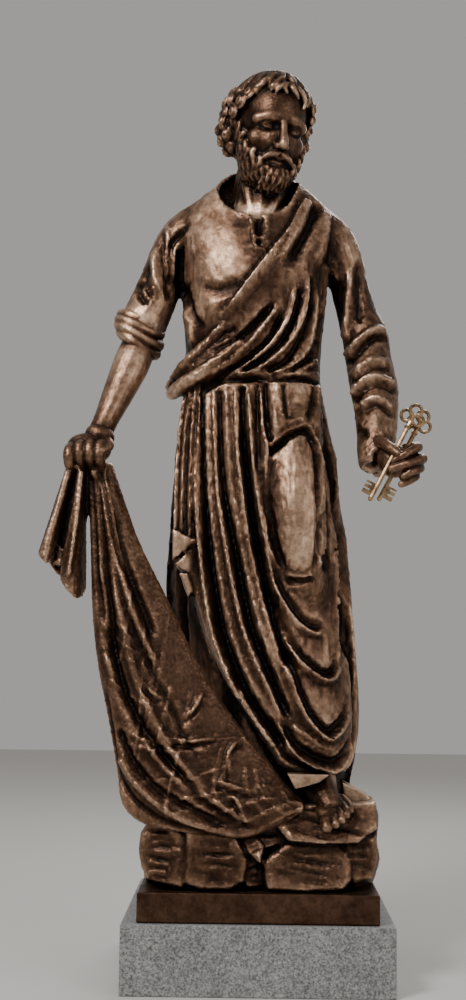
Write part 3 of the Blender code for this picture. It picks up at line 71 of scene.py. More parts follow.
def smooth_through(points, count):
    """count points along a smooth curve through the given points."""
    points = np.asarray(points, float)
    if len(points) == 2:
        t = np.linspace(0, 1, count)[:, None]
        return points[0] * (1 - t) + points[1] * t
    padded = np.vstack([2 * points[0] - points[1], points, 2 * points[-1] - points[-2]])
    where = np.linspace(0, len(points) - 1, count)
    i = np.minimum(where.astype(int), len(points) - 2)
    t = (where - i)[:, None]
    a, b, c, d = (padded[i + k] for k in range(4))
    return 0.5 * (2 * b + (c - a) * t + (2 * a - 5 * b + 4 * c - d) * t**2 + (3 * b - a - 3 * c + d) * t**3)


def ease(low, high, value):
    """0 below low, 1 above high, and a smooth step between."""
    t = np.clip((value - low) / (high - low), 0, 1)
    return t * t * (3 - 2 * t)


def unit(v):
    """Vectors at the length of one."""
    v = np.asarray(v, float)
    return v / np.maximum(np.linalg.norm(v, axis=-1, keepdims=True), 1e-9)


def loft(rings):
    """A closed solid through rings of equal length, fanned shut at both ends."""
    rings = np.asarray(rings, float)
    rows, columns = rings.shape[:2]
    points = np.vstack([rings.reshape(-1, 3), rings[0].mean(0), rings[-1].mean(0)])
    i, j = np.meshgrid(np.arange(rows - 1), np.arange(columns), indexing="ij")
    k = (j + 1) % columns
    quads = np.stack([i * columns + j, i * columns + k, (i + 1) * columns + k, (i + 1) * columns + j], -1)
    faces = quads.reshape(-1, 4).tolist()
    last = (rows - 1) * columns
    for j in range(columns):
        k = (j + 1) % columns
        faces.append([rows * columns, k, j])
        faces.append([rows * columns + 1, last + j, last + k])
    return points, faces


def sweep(stations, sides=24, steps=40, front=(0, -1, 0)):
    """A limb through stations of (x, y, z, half width, half depth); the depth lies towards front."""
    table = smooth_through(stations, steps)
    centres, wide, deep = table[:, :3], table[:, 3], table[:, 4]
    along = unit(np.gradient(centres, axis=0))
    ahead = np.asarray(front, float)
    ahead = unit(ahead - along * (along @ ahead)[:, None])
    side = np.cross(along, ahead)
    turn = np.linspace(0, 2 * math.pi, sides, endpoint=False)[:, None]
    rings = [c + s * np.cos(turn) * w + a * np.sin(turn) * d
             for c, s, a, w, d in zip(centres, side, ahead, wide, deep)]
    return loft(rings)


def domed(stations, steps=14):
    """Points and radii along a round limb, drawn in towards a point at both ends."""
    table = smooth_through(stations, steps)
    along = unit(np.gradient(table[:, :3], axis=0))
    first, last = table[0], table[-1]
    rows = []
    for share in (0.35, 0.8):
        rows.append([*(first[:3] - along[0] * first[3] * math.sqrt(1 - share**2)), first[3] * share])
    rows += table.tolist()
    for share in (0.8, 0.35):
        rows.append([*(last[:3] + along[-1] * last[3] * math.sqrt(1 - share**2)), last[3] * share])
    return np.array(rows)


def strands(runs, resolution=2):
    """Round limbs as one solid: each run is a row of x, y, z and radius."""
    curve = bpy.data.curves.new("strands", "CURVE")
    curve.dimensions = "3D"
    curve.bevel_depth = 1.0
    curve.bevel_resolution = resolution
    curve.use_fill_caps = True
    for run in runs:
        spline = curve.splines.new("POLY")
        spline.points.add(len(run) - 1)
        spline.points.foreach_set("co", np.column_stack([run[:, :3], np.ones(len(run))]).ravel())
        spline.points.foreach_set("radius", run[:, 3])
    made = bpy.data.objects.new("strands", curve)
    bpy.context.scene.collection.objects.link(made)
    mesh = bpy.data.meshes.new_from_object(made.evaluated_get(bpy.context.evaluated_depsgraph_get()))
    bpy.data.objects.remove(made)
    bpy.data.curves.remove(curve)
    return arrays_of(mesh)


def tube(stations):
    """A round limb through stations of (x, y, z, radius) with domed ends."""
    return strands([domed(stations)], 5)


def table_of(items, name, width=3, kind=np.float32):
    """One value of every vertex or edge, as the rows of a table."""
    table = np.empty(len(items) * width, kind)
    items.foreach_get(name, table)
    return table.reshape(-1, width)


def arrays_of(mesh):
    """The points and faces of a mesh, which is removed."""
    points = table_of(mesh.vertices, "co").astype(float)
    faces = [list(p.vertices) for p in mesh.polygons]
    bpy.data.meshes.remove(mesh)
    return points, faces


def primitive(make, **sizes):
    """The points and faces of one of bmesh's own primitives."""
    grown = bmesh.new()
    make(grown, **sizes)
    mesh = bpy.data.meshes.new("primitive")
    grown.to_mesh(mesh)
    grown.free()
    return arrays_of(mesh)


def turned(x, y, z):
    """The 3x3 matrix that turns by x, then y, then z degrees."""
    spin = (Matrix.Rotation(math.radians(z), 3, "Z") @ Matrix.Rotation(math.radians(y), 3, "Y")
            @ Matrix.Rotation(math.radians(x), 3, "X"))
    return np.array(spin)


def globe(sides, rows):
    """Unit directions in rings from the south pole to the north."""
    lat = np.linspace(-math.pi / 2, math.pi / 2, rows + 2)[1:-1]
    lon = np.linspace(0, 2 * math.pi, sides, endpoint=False)
    return np.stack([np.cos(lat)[:, None] * np.cos(lon), np.cos(lat)[:, None] * np.sin(lon),
                     np.repeat(np.sin(lat)[:, None], sides, 1)], -1)


def spiral(count, start=0.0):
    """Unit directions spread evenly over a sphere, wound from its top to its bottom."""
    n = np.arange(count) + 0.5
    lift = 1 - 2 * n / count
    swing = n * math.pi * (3 - math.sqrt(5)) + start
    flat = np.sqrt(1 - lift**2)
    return np.stack([flat * np.cos(swing), flat * np.sin(swing), lift], 1)


def ball(centre, radii, turn=(0, 0, 0), sides=36, rows=24):
    """An ellipsoid, turned by Euler angles in degrees."""
    points, faces = primitive(bmesh.ops.create_uvsphere, u_segments=sides, v_segments=rows, radius=1.0)
    return (points * np.array(radii)) @ turned(*turn).T + np.array(centre), faces


def boulder(centre, radii, seed, cuts=9, hardness=45, sides=72, rows=48):
    """A stone dressed flat on six sides and over a few slanting cuts, all shaken by the seed."""
    shake = np.random.default_rng(seed)
    square = np.vstack([np.eye(3), -np.eye(3)])
    slant = spiral(cuts, seed)
    planes = unit(np.vstack([square + shake.normal(0, 0.11, square.shape),
                             slant + shake.normal(0, 0.2, slant.shape)]))
    reach = np.concatenate([shake.uniform(0.88, 1.0, 6), shake.uniform(1.0, 1.22, cuts)])
    ray = globe(sides, rows)
    push = np.maximum(ray @ planes.T, 0) / reach
    length = (push**hardness).sum(-1) ** (-1 / hardness)
    return loft(ray * length[..., None] * np.array(radii) + np.array(centre))


def join(*solids):
    """One solid of several, as points and faces."""
    points, faces, shift = [], [], 0
    for p, f in solids:
        points.append(np.asarray(p, float))
        faces.extend([[k + shift for k in face] for face in f])
        shift += len(p)
    return np.vstack(points), faces


def object_of(name, solid):
    """A new object with the points and faces of a solid."""
    mesh = bpy.data.meshes.new(name)
    mesh.from_pydata(np.asarray(solid[0]).tolist(), [], solid[1])
    mesh.update()
    made = bpy.data.objects.new(name, mesh)
    bpy.context.scene.collection.objects.link(made)
    return made


def solid_of(obj):
    """The points and faces of an object, which is removed."""
    mesh = obj.data
    bpy.data.objects.remove(obj)
    return arrays_of(mesh)


def apply_modifiers(obj):
    """The object with its modifiers made part of its mesh."""
    graph = bpy.context.evaluated_depsgraph_get()
    mesh = bpy.data.meshes.new_from_object(obj.evaluated_get(graph))
    obj.modifiers.clear()
    old, obj.data = obj.data, mesh
    bpy.data.meshes.remove(old)
    return obj


def fused(name, solids, grid, blend=0):
    """One object: the solids grown together on a grid, then relaxed blend times."""
    made = object_of(name, join(*solids))
    grow = made.modifiers.new("Fuse", "REMESH")
    grow.mode = "VOXEL"
    grow.voxel_size = grid
    if blend:
        relax = made.modifiers.new("Blend", "SMOOTH")
        relax.factor = 0.5
        relax.iterations = blend
    return apply_modifiers(made)


# Where the small forms are, as centre, reach and how readily the surface there is simplified
SMALL_FORMS = [
    ((16, -40, 1920), 190, 0.30), ((300, -210, 1110), 95, 0.22), ((-385, -140, 1150), 80, 0.45),
    ((155, -225, 360), 75, 0.3),
]


def thinned(obj, triangles):
    """The object with flat stretches merged until about the given number of triangles is left."""
    present = sum(len(p.vertices) - 2 for p in obj.data.polygons)
    if present > triangles:
        points = table_of(obj.data.vertices, "co")
        plain = obj.vertex_groups.new(name="plain")
        plain.add(range(len(points)), 1.0, "REPLACE")
        for centre, reach, ease_off in SMALL_FORMS:
            near = np.flatnonzero(np.linalg.norm(points - centre, axis=1) < reach)
            plain.add(near.tolist(), ease_off, "REPLACE")
        thin = obj.modifiers.new("Thin", "DECIMATE")
        thin.vertex_group = plain.name
        thin.ratio = triangles / present
        thin.use_collapse_triangulate = True
        apply_modifiers(obj)
    return obj


# The flat views that lines are drawn in: the way one looks, and the axis that runs across
SIGHTS = {
    "front": (np.array([0.0, 1, 0]), np.array([1.0, 0, 0])),
    "back": (np.array([0.0, -1, 0]), np.array([1.0, 0, 0])),
    "side": (np.array([-1.0, 0, 0]), np.array([0.0, 1, 0])),
    "other_side": (np.array([1.0, 0, 0]), np.array([0.0, 1, 0])),
}
# How high a stroke stands at a share of its half width, from -1 on one side to 1 on the other
PROFILES = {
    "ridge": lambda s: (1 - s**2) ** 2,
    "valley": lambda s: (1 - np.abs(s) ** 1.8) ** 2,
    "crest": lambda s: (1 - np.abs(s)) ** 1.5,
    "step": lambda s: np.where(s < 0, (1 + s) ** 1.3, np.clip(1 - s / 0.22, 0, 1)),
    "back_step": lambda s: PROFILES["step"](-s),
}


class Carving:
    """The surface of one object, raised and sunk along lines drawn in a flat view of it."""

    def __init__(self, obj):
        self.obj = obj
        self.begin()

    def begin(self):
        """Reads the surface; the strokes that follow add to one shift."""
        corners = self.obj.data.vertices
        self.points = table_of(corners, "co").astype(float)
        self.normals = table_of(corners, "normal").astype(float)
        self.shift = np.zeros_like(self.points)
        self.faced = {}

    def end(self):
        """Moves the surface by the shift of all strokes."""
        self.points += self.shift
        self.obj.data.vertices.foreach_set("co", self.points.astype(np.float32).ravel())
        self.obj.data.update()

    def flat_view(self, view):
        """Every point as it lies in a flat view: across and up."""
        return np.stack([self.points @ SIGHTS[view][1], self.points[:, 2]], 1)

    def facing(self, view):
        """How squarely each point faces the viewer, 0 to 1."""
        if view not in self.faced:
            self.faced[view] = ease(0.02, 0.35, -(self.normals @ SIGHTS[view][0]))
        return self.faced[view]

    def near_line(self, path, reach, view):
        """Points within reach of a drawn line: their indices, signed distances and shares along it."""
        line = smooth_through(path, 10 * len(path))
        flat = self.flat_view(view)
        low, high = line.min(0) - reach, line.max(0) + reach
        near = np.flatnonzero(((flat > low) & (flat < high)).all(1) & (self.facing(view) > 0))
        spot = flat[near]
        best = np.full(len(near), np.inf)
        side = np.ones(len(near))
        share = np.zeros(len(near))
        for k in range(len(line) - 1):
            run = line[k + 1] - line[k]
            t = np.clip((spot - line[k]) @ run / max(run @ run, 1e-9), 0, 1)
            gap = spot - line[k] - t[:, None] * run
            far = np.hypot(gap[:, 0], gap[:, 1])
            better = far < best
            best[better] = far[better]
            side[better] = np.sign(run[0] * gap[:, 1] - run[1] * gap[:, 0])[better]
            share[better] = ((k + t) / (len(line) - 1))[better]
        return near, side * best, share

    def stroke(self, path, width, height, profile="ridge", fade=(0.15, 0.15), view="front", start=1.0):
        """A raised line, or a sunk one where the height is negative; width is the half width.

        Width and height begin at their start share and are full from 60 % of the way on."""
        near, far, share = self.near_line(path, width, view)
        grown = start + (1 - start) * ease(0, 0.6, share)
        s = far / (width * grown)
        rise = PROFILES[profile](np.clip(s, -1, 1)) * (np.abs(s) < 1)
        ends = ease(0, max(fade[0], 1e-4), share) * ease(0, max(fade[1], 1e-4), 1 - share)
        amount = height * grown * rise * ends * self.facing(view)[near]
        self.shift[near] += self.normals[near] * amount[:, None]

    def ridge(self, path, width, height, *rest):
        """A rounded raised line."""
        self.stroke(path, width, height, "ridge", *rest)

    def crest(self, path, width, height, *rest):
        """A raised line with a sharp back."""
        self.stroke(path, width, height, "crest", *rest)

    def sink(self, path, width, depth, *rest):
        """A broad rounded groove."""
        self.stroke(path, width, -depth, "valley", *rest)

    def within(self, outline, view="front"):
        """Each point's distance inside a drawn outline, negative outside it."""
        flat = self.flat_view(view)
        gap = np.full(len(flat), np.inf)
        inside = np.zeros(len(flat), bool)
        ring = np.asarray(outline, float)
        for a, b in zip(ring, np.roll(ring, -1, axis=0)):
            run = b - a
            t = np.clip((flat - a) @ run / max(run @ run, 1e-9), 0, 1)
            gap = np.minimum(gap, np.hypot(*(flat - a - t[:, None] * run).T))
            if a[1] != b[1]:
                crossed = (a[1] > flat[:, 1]) != (b[1] > flat[:, 1])
                inside ^= crossed & (flat[:, 0] < a[0] + (flat[:, 1] - a[1]) * run[0] / run[1])
        return np.where(inside, gap, -gap)

    def patch(self, outline, height, soft, view="front"):
        """Raises what lies inside a drawn outline, or sinks it, over a soft edge."""
        amount = height * ease(0, soft, self.within(outline, view)) * self.facing(view)
        self.shift += self.normals * amount[:, None]

    def hollow(self, centre, lean, radii, depth):
        """Sinks what stands over a leaning ellipse, deepest in its middle."""
        turn = turned(*lean)
        local = (self.points - np.asarray(centre, float)) @ turn
        share = np.hypot(local[:, 0] / radii[0], local[:, 1] / radii[1])
        drop = np.minimum(-depth * (1 - np.minimum(share, 1) ** 4) - local[:, 2], 0) * (share < 1)
        self.shift += drop[:, None] * turn[:, 2]

    def dent(self, centre, reach, push):
        """Moves the points within reach of a centre by the push vector, fading out smoothly."""
        gap = np.linalg.norm((self.points - np.asarray(centre, float)) / np.asarray(reach, float), axis=1)
        self.shift += np.clip(1 - gap**2, 0, 1)[:, None] ** 2 * np.asarray(push, float)


def moved(line, across, up=0):
    """A drawn line moved across and up."""
    return [(x + across, z + up) for x, z in line]


def between(a, b, share, count=8):
    """The drawn line a given share of the way from line a to line b."""
    first, second = smooth_through(a, count), smooth_through(b, count)
    return first * (1 - share) + second * share


# Levels of the trunk and skirt: height, left, right, half depth in front, half depth behind
TRUNK = [
    (367, -132, 208, 110, 150), (412, -146, 212, 150, 180), (479, -170, 223, 200, 200),
    (592, -185, 226, 210, 200), (728, -205, 216, 195, 190), (842, -219, 204, 175, 180),
    (957, -213, 195, 165, 175), (1073, -206, 179, 158, 170), (1190, -196, 162, 150, 165),
    (1273, -186, 145, 138, 155), (1325, -175, 136, 128, 140), (1403, -178, 138, 132, 135),
    (1498, -186, 146, 140, 135), (1582, -193, 152, 138, 135), (1643, -200, 168, 124, 130),
    (1681, -202, 172, 108, 120), (1712, -192, 164, 94, 110), (1740, -174, 150, 86, 102),
    (1764, -146, 126, 80, 94), (1790, -112, 96, 70, 86), (1816, -82, 70, 54, 72),
]
# Both sleeves and the thigh under the cloth: x, y, z, half width and half depth
RIGHT_SLEEVE = [
    (-120, 10, 1728, 40, 52), (-164, 10, 1700, 48, 60), (-194, 10, 1664, 54, 64), (-216, 8, 1618, 54, 64),
    (-238, 0, 1562, 51, 62), (-258, -10, 1508, 53, 60), (-276, -20, 1462, 54, 58), (-285, -26, 1436, 52, 55),
]
LEFT_SLEEVE = [
    (96, 10, 1726, 40, 50), (134, 10, 1702, 44, 56), (168, 10, 1664, 49, 60), (188, 12, 1614, 49, 60),
    (206, 20, 1556, 44, 58), (224, 18, 1490, 47, 58), (242, 2, 1432, 54, 60), (247, -12, 1380, 53, 58),
    (257, -45, 1310, 55, 57), (260, -82, 1245, 50, 54), (258, -112, 1188, 45, 50), (252, -134, 1140, 40, 46),
    (249, -144, 1108, 34, 42),
]
THIGH = [
    (51, -40, 1300, 66, 64), (66, -80, 1165, 72, 70), (78, -116, 1040, 68, 70), (86, -130, 930, 60, 64),
    (92, -120, 880, 54, 58), (104, -108, 790, 50, 52), (118, -112, 619, 48, 50), (133, -118, 490, 44, 46),
]


def robe_masses():
    """The trunk and skirt, both sleeves, the thigh that pushes forward and the shoulders."""
    table = smooth_through(TRUNK, 120)
    turn = np.linspace(0, 2 * math.pi, 72, endpoint=False)
    c, s = np.cos(turn), np.sin(turn)
    full = 2 / 2.3
    rings = []
    for z, left, right, front, behind in table:
        x = (left + right) / 2 + (right - left) / 2 * np.sign(c) * np.abs(c) ** full
        y = np.where(s < 0, front, behind) * np.sign(s) * np.abs(s) ** full
        rings.append(np.stack([x, y, np.full(len(turn), z)], 1))
    return [loft(rings), sweep(RIGHT_SLEEVE), sweep(LEFT_SLEEVE), sweep(THIGH),
            ball((-4, 40, 1762), (104, 64, 92)), ball((-4, 20, 1730), (150, 70, 62))]


# Guide lines of the drapery in a flat view, x across and z up. The front panel's left edge and hem
PANEL_EDGE = [(-196, 1160), (-190, 1060), (-186, 972), (-150, 950), (-184, 896), (-150, 858), (-140, 818),
              (-122, 759), (-100, 701), (-65, 636), (-30, 585), (19, 512), (57, 456), (108, 440), (160, 440),
              (205, 462), (240, 600)]
PANEL_REST = [(262, 900), (240, 1200)]
# Three deep valleys from the waist to the hem
VALLEY_1 = [(-136, 1288), (-134, 1179), (-129, 1060), (-117, 922), (-91, 766), (-62, 682), (-23, 602),
            (26, 538), (57, 494)]
VALLEY_2 = [(-97, 1288), (-93, 1180), (-84, 1060), (-58, 923), (-25, 777), (-4, 715), (25, 647), (67, 548)]
VALLEY_3 = [(-45, 1294), (-42, 1210), (-36, 1130), (-14, 969), (16, 837), (38, 757), (70, 651)]
# The pouch of cloth over the thigh, the folds on both sides of the knee, and the loops below it
POUCH = [(0, 1316), (6, 1246), (11, 1195), (20, 1154), (51, 1178), (77, 1191), (96, 1193), (112, 1178),
         (128, 1150), (146, 1230), (140, 1318)]
KNEE_LEFT = [(16, 1130), (13, 1081), (20, 1011), (30, 945), (44, 900), (60, 876)]
KNEE_RIGHT = [(122, 1150), (126, 1068), (128, 980), (122, 910), (113, 872)]
SIDE_VALLEY = [(140, 1180), (149, 1101), (148, 1030), (140, 940), (150, 862)]
LOOPS = [
    [(10, 915), (22, 868), (37, 833), (65, 785), (92, 755), (118, 742), (134, 752)],
    [(26, 815), (41, 771), (55, 730), (79, 689), (107, 662), (138, 643), (160, 650), (172, 680), (176, 740)],
    [(50, 700), (66, 651), (87, 593), (111, 549), (142, 520), (162, 525), (187, 556), (199, 615)],
    [(38, 562), (49, 530), (68, 498), (96, 474), (129, 456), (160, 450), (190, 474), (208, 520), (214, 590)],
]
# The mantle across the chest: its upper edge, then folds down to the waist with half width and height
MANTLE_EDGE = [(92, 1742), (75, 1699), (59, 1662), (29, 1617), (-4, 1573), (-37, 1528), (-64, 1492),
               (-96, 1452)]
FOLD_SHADOWS = [
    ([(-56, 1430), (-75, 1414), (-101, 1401), (-134, 1370), (-173, 1333), (-206, 1309)], 13, 12),
    ([(34, 1490), (-19, 1435), (-68, 1391), (-117, 1350), (-166, 1310), (-199, 1283)], 13, 18),
    ([(48, 1470), (16, 1402), (-35, 1354), (-78, 1327), (-133, 1297), (-179, 1273)], 10, 20),
    ([(88, 1530), (74, 1462), (46, 1400), (4, 1358), (-46, 1326)], 10, 15),
    ([(112, 1560), (108, 1480), (90, 1412), (56, 1356), (10, 1326)], 10, 15),
    ([(128, 1420), (112, 1372), (70, 1336), (20, 1316)], 10, 14),
]
FOLD_RIDGES = [
    ([(44, 1496), (-3, 1424), (-42, 1378), (-84, 1340), (-133, 1307), (-170, 1286)], 12, 16),
    ([(76, 1540), (58, 1456), (24, 1402), (-19, 1358), (-68, 1322)], 11, 12),
    ([(104, 1570), (96, 1486), (73, 1419), (31, 1365), (-18, 1328), (-58, 1315)], 11, 13),
    ([(122, 1540), (118, 1460), (106, 1400), (76, 1352), (30, 1320)], 10, 10),
    ([(132, 1370), (106, 1352), (80, 1336), (31, 1316), (-18, 1311)], 9, 9),
]
# The mantle's edges over the back, and the slit in the tunic's neck
BACK_HIGH = [(110, 1750), (20, 1640), (-70, 1500), (-190, 1370)]
BACK_LOW = [(150, 1520), (70, 1420), (-40, 1340), (-180, 1290)]
NECK_SLIT = [(-30, 1722), (-22, 1650), (-11, 1588), (0, 1650), (8, 1722)]


def hang_panel(c):
    """Sets what lies beside the front panel and under its hem further back, in shadow."""
    outline = np.vstack([smooth_through(PANEL_EDGE[:3], 12), PANEL_EDGE[3:6],
                         smooth_through(PANEL_EDGE[6:], 60), PANEL_REST])
    inside = c.within(outline, "front")
    shade = ease(2, -14, inside) * ease(30, -40, c.points[:, 1]) * ease(1150, 1090, c.points[:, 2])
    c.shift[:, 1] += (92 + 16 * ease(1000, 700, c.points[:, 2])) * shade


def fold_skirt(c):
    """The front panel's long folds, the pouch and the drawn cloth over the knee."""
    for line, width, depth, start in ((VALLEY_1, 19, 36, 0.40), (VALLEY_2, 16, 30, 0.40),
                                      (VALLEY_3, 20, 38, 0.42)):
        c.sink(line, width, depth, (0.02, 0.07), "front", start)
    c.crest(between(VALLEY_1, VALLEY_2, 0.72, 12), 13, 11, (0.02, 0.08), "front", 0.6)
    c.ridge(between(VALLEY_1, VALLEY_2, 0.34, 12), 9, 4, (0.02, 0.3))
    c.ridge(between(VALLEY_2, VALLEY_3, 0.34, 12), 10, 5, (0.02, 0.2))
    c.crest(between(VALLEY_2, VALLEY_3, 0.72, 12), 13, 11, (0.02, 0.05), "front", 0.6)
    c.crest(moved(VALLEY_1, -17), 10, 12, (0.02, 0.04), "front", 0.6)
    c.crest([(-31, 1284), (-24, 1180), (-15, 1080), (0, 983), (17, 902), (36, 850)], 9, 12, (0.03, 0.12))
    c.sink([(-11, 1300), (-8, 1152), (2, 1060), (14, 980)], 7, 9, (0.03, 0.2))
    c.crest([(-4, 1284), (2, 1200), (12, 1150), (10, 1100), (14, 1020)], 8, 11, (0.04, 0.2))
    # Short pleats of the hanging end at the hip
    for x, depth in ((-180, 7), (-166, 9), (-152, 6)):
        c.sink([(x + 8, 1300), (x, 1120), (x - 2, 975)], 7, depth, (0.02, 0.03))
    for x in (-173, -158):
        c.ridge([(x + 8, 1300), (x, 1120), (x - 2, 975)], 7, 4, (0.02, 0.03))
    # The pouch over the thigh and the shadow under it
    c.sink([(6, 1304), (11, 1230), (14, 1195), (20, 1164)], 7, 13, (0.03, 0.05))
    c.crest([(30, 1300), (38, 1240), (50, 1205)], 7, 7, (0.05, 0.3))
    c.sink([(46, 1296), (50, 1244), (58, 1210)], 7, 7, (0.05, 0.3))
    c.sink([(112, 1304), (104, 1240), (94, 1206)], 10, 8, (0.05, 0.3))
    c.sink([(128, 1304), (128, 1240), (126, 1190)], 7, 7, (0.05, 0.3))
    c.crest([(16, 1156), (51, 1183), (80, 1198), (98, 1200), (112, 1184), (128, 1150), (134, 1110)], 7, 11,
            (0.04, 0.2))
    c.sink([(18, 1134), (30, 1150), (56, 1173), (80, 1186), (97, 1188), (112, 1168), (122, 1130)], 9, 12,
           (0.04, 0.2))
    c.sink([(18, 1140), (36, 1154), (62, 1170)], 12, 8, (0.1, 0.4))
    c.sink(KNEE_LEFT, 12, 9, (0.1, 0.25), "front", 0.3)
    c.crest(moved(KNEE_LEFT, -15), 9, 8, (0.1, 0.2))
    c.sink(KNEE_RIGHT, 9, 12, (0.05, 0.25))
    c.crest(moved(KNEE_RIGHT, 11), 8, 7, (0.08, 0.25))
    c.ridge([(50, 876), (85, 868), (118, 876)], 9, 6, (0.2, 0.2))
    c.sink([(50, 862), (85, 854), (118, 862)], 11, 8, (0.2, 0.2))
    c.sink(SIDE_VALLEY, 16, 27, (0.15, 0.2), "front", 0.6)
    c.sink([(176, 1010), (184, 900), (186, 800), (192, 660)], 13, 18, (0.2, 0.2))
    for line, height in (([(156, 1210), (166, 1100), (172, 1000), (170, 880), (176, 760)], 9),
                         ([(186, 1010), (196, 900), (200, 800), (210, 660), (214, 590)], 9)):
        c.crest(line, 9, height, (0.15, 0.15))
    # Loops of cloth below the knee
    for line, width, height in zip(LOOPS, (11, 12, 13, 13), (14, 16, 18, 18)):
        c.crest(line, width, height, (0.1, 0.12))
        c.sink(moved(line, 3, 17), 15, 0.85 * height, (0.22, 0.22))
    c.crest([(70, 546), (94, 529), (142, 499), (170, 504)], 10, 9, (0.1, 0.2))
    c.sink([(44, 500), (60, 476), (108, 456), (160, 444)], 8, 12, (0.1, 0.2))


def fold_mantle(c):
    """The mantle across the chest and over the back."""
    c.stroke(MANTLE_EDGE, 30, 14, "back_step", (0.01, 0.2))
    c.sink(moved(MANTLE_EDGE, -5, 4), 7, 7, (0.02, 0.15))
    c.stroke(BACK_HIGH, 34, 15, "step", (0.01, 0.01), "back")
    for line, width, height in FOLD_RIDGES:
        c.crest(line, width, height, (0.12, 0.06))
    for line, width, depth in FOLD_SHADOWS:
        c.sink(line, width, depth, (0.12, 0.05))
    c.ridge([(-82, 1440), (-120, 1402), (-170, 1354), (-200, 1336)], 13, 13, (0.15, 0.02))
    c.ridge([(-66, 1408), (-101, 1380), (-150, 1336), (-204, 1296)], 10, 8, (0.1, 0.02))
    # Broad folds below the shoulder
    c.sink([(128, 1738), (108, 1676), (84, 1620), (52, 1560)], 18, 15, (0.08, 0.3))
    c.ridge([(106, 1742), (86, 1676), (56, 1616), (20, 1556)], 15, 9, (0.05, 0.3))
    c.ridge([(150, 1726), (140, 1650), (120, 1570)], 16, 9, (0.1, 0.3))
    c.ridge([(146, 1600), (138, 1520), (128, 1450)], 12, 9, (0.1, 0.3))
    # The lower edge stands over the skirt at the waist
    c.stroke([(-150, 1290), (-90, 1320), (-35, 1320), (31, 1322), (138, 1328)], 18, 7, "back_step",
             (0.04, 0.03))
    c.sink([(-150, 1274), (-90, 1306), (-35, 1308), (31, 1310), (140, 1315)], 9, 13, (0.04, 0.03))
    for share in (0.2, 0.45, 0.7):
        c.ridge(between(BACK_HIGH, BACK_LOW, share), 16, 12, (0.05, 0.1), "back")
        c.sink(between(BACK_HIGH, BACK_LOW, share + 0.12), 14, 10, (0.08, 0.1), "back")


def fold_tunic(c):
    """The tunic's chest, its slit neck and the sleeves."""
    c.sink([(-192, 1640), (-193, 1600), (-192, 1540), (-190, 1470), (-184, 1400), (-182, 1360)], 12, 24,
           (0.15, 0.1))
    c.sink([(-184, 1553), (-170, 1498), (-156, 1458), (-129, 1424)], 13, 12, (0.15, 0.25))
    c.ridge([(-182, 1500), (-168, 1440), (-156, 1393)], 10, 9, (0.2, 0.2))
    c.stroke([(-140, 1534), (-104, 1512), (-70, 1520), (-46, 1540)], 24, -8, "ridge", (0.3, 0.4))
    c.crest([(-30, 1692), (-24, 1644), (-20, 1618), (-12, 1592)], 7, 8, (0.01, 0.2))
    c.crest([(7, 1692), (7, 1644), (-4, 1612)], 7, 7, (0.01, 0.2))
    for a, b in (((-24, 1640), (5, 1626)), ((-24, 1626), (5, 1640)), ((-22, 1614), (3, 1604))):
        c.ridge([a, b], 4.5, 9, (0.02, 0.02))
    # The right sleeve pulls from the shoulder to its cuff
    for line, width, height in (
        ([(-166, 1690), (-212, 1640), (-214, 1590), (-206, 1530)], 12, -14),
        ([(-232, 1690), (-232, 1620), (-222, 1560), (-216, 1500)], 12, -9),
        ([(-222, 1700), (-222, 1620), (-214, 1550)], 10, 7),
        ([(-250, 1640), (-252, 1580), (-240, 1520)], 12, 9),
        ([(-282, 1560), (-286, 1520), (-262, 1490)], 12, -12),
        ([(-262, 1600), (-272, 1550), (-250, 1500)], 11, -8),
    ):
        c.stroke(line, width, height, "ridge" if height > 0 else "valley", (0.25, 0.2))
    # The left sleeve creases at the elbow and above the cuff
    for line, width, height in (
        ([(191, 1380), (228, 1420), (257, 1441), (288, 1443)], 15, 14),
        ([(206, 1278), (218, 1306), (248, 1322), (281, 1316), (302, 1300)], 14, 11),
        ([(222, 1252), (246, 1270), (269, 1264), (294, 1240)], 13, 9),
        ([(204, 1330), (224, 1352), (252, 1366), (290, 1362)], 15, 6),
        ([(208, 1270), (214, 1230), (226, 1190)], 10, 9),
    ):
        c.crest(line, width, height, (0.06, 0.12))
        c.sink(moved(line, 4, -21), 13, 0.8 * height, (0.1, 0.2))
    c.ridge([(201, 1600), (199, 1500), (190, 1410)], 12, 10, (0.2, 0.15))
    c.sink([(222, 1620), (222, 1520), (224, 1450)], 14, 9, (0.25, 0.2))
    c.crest([(148, 1560), (152, 1596), (160, 1612), (168, 1600), (174, 1552)], 8, 9, (0.15, 0.15))
    for line in ([(-150, 1700), (-212, 1600), (-250, 1480)], [(180, 1660), (236, 1480), (262, 1340)]):
        c.sink(line, 16, 10, (0.2, 0.2), "back")


def fold_sides(c):
    """Plain long folds behind and at the sides."""
    for k in range(9):
        x = -160 + 38 * k
        spread = 1 + 0.2 * abs(k - 4) / 4
        fold = [(x * 0.8, 1290), (x * 0.92 * spread, 1050), (x * spread, 760), (x * 1.02 * spread, 430)]
        c.sink(fold, 18, 26, (0.06, 0.0), "back")
        c.ridge(moved(fold, 19), 13, 10, (0.1, 0.0), "back")
    for y in (-80, -10, 60):
        for view in ("side", "other_side"):
            c.sink([(y * 0.8, 1270), (y, 1000), (y * 1.15, 700), (y * 1.2, 440)], 17, 22, (0.08, 0.02),
                   view)


def carve_robe(robe):
    """The robe with every fold, carved in three rounds so that later folds follow the earlier ones."""
    c = Carving(robe)
    hang_panel(c)
    c.end()
    c = Carving(fused("robe", [solid_of(robe)], ROBE_GRID, 2))
    c.patch(POUCH, 15, 22)
    fold_skirt(c)
    c.end()
    c.begin()
    c.patch(NECK_SLIT, -17, 13)
    for fold in (fold_mantle, fold_tunic, fold_sides):
        fold(c)
    c.end()
    return c.obj


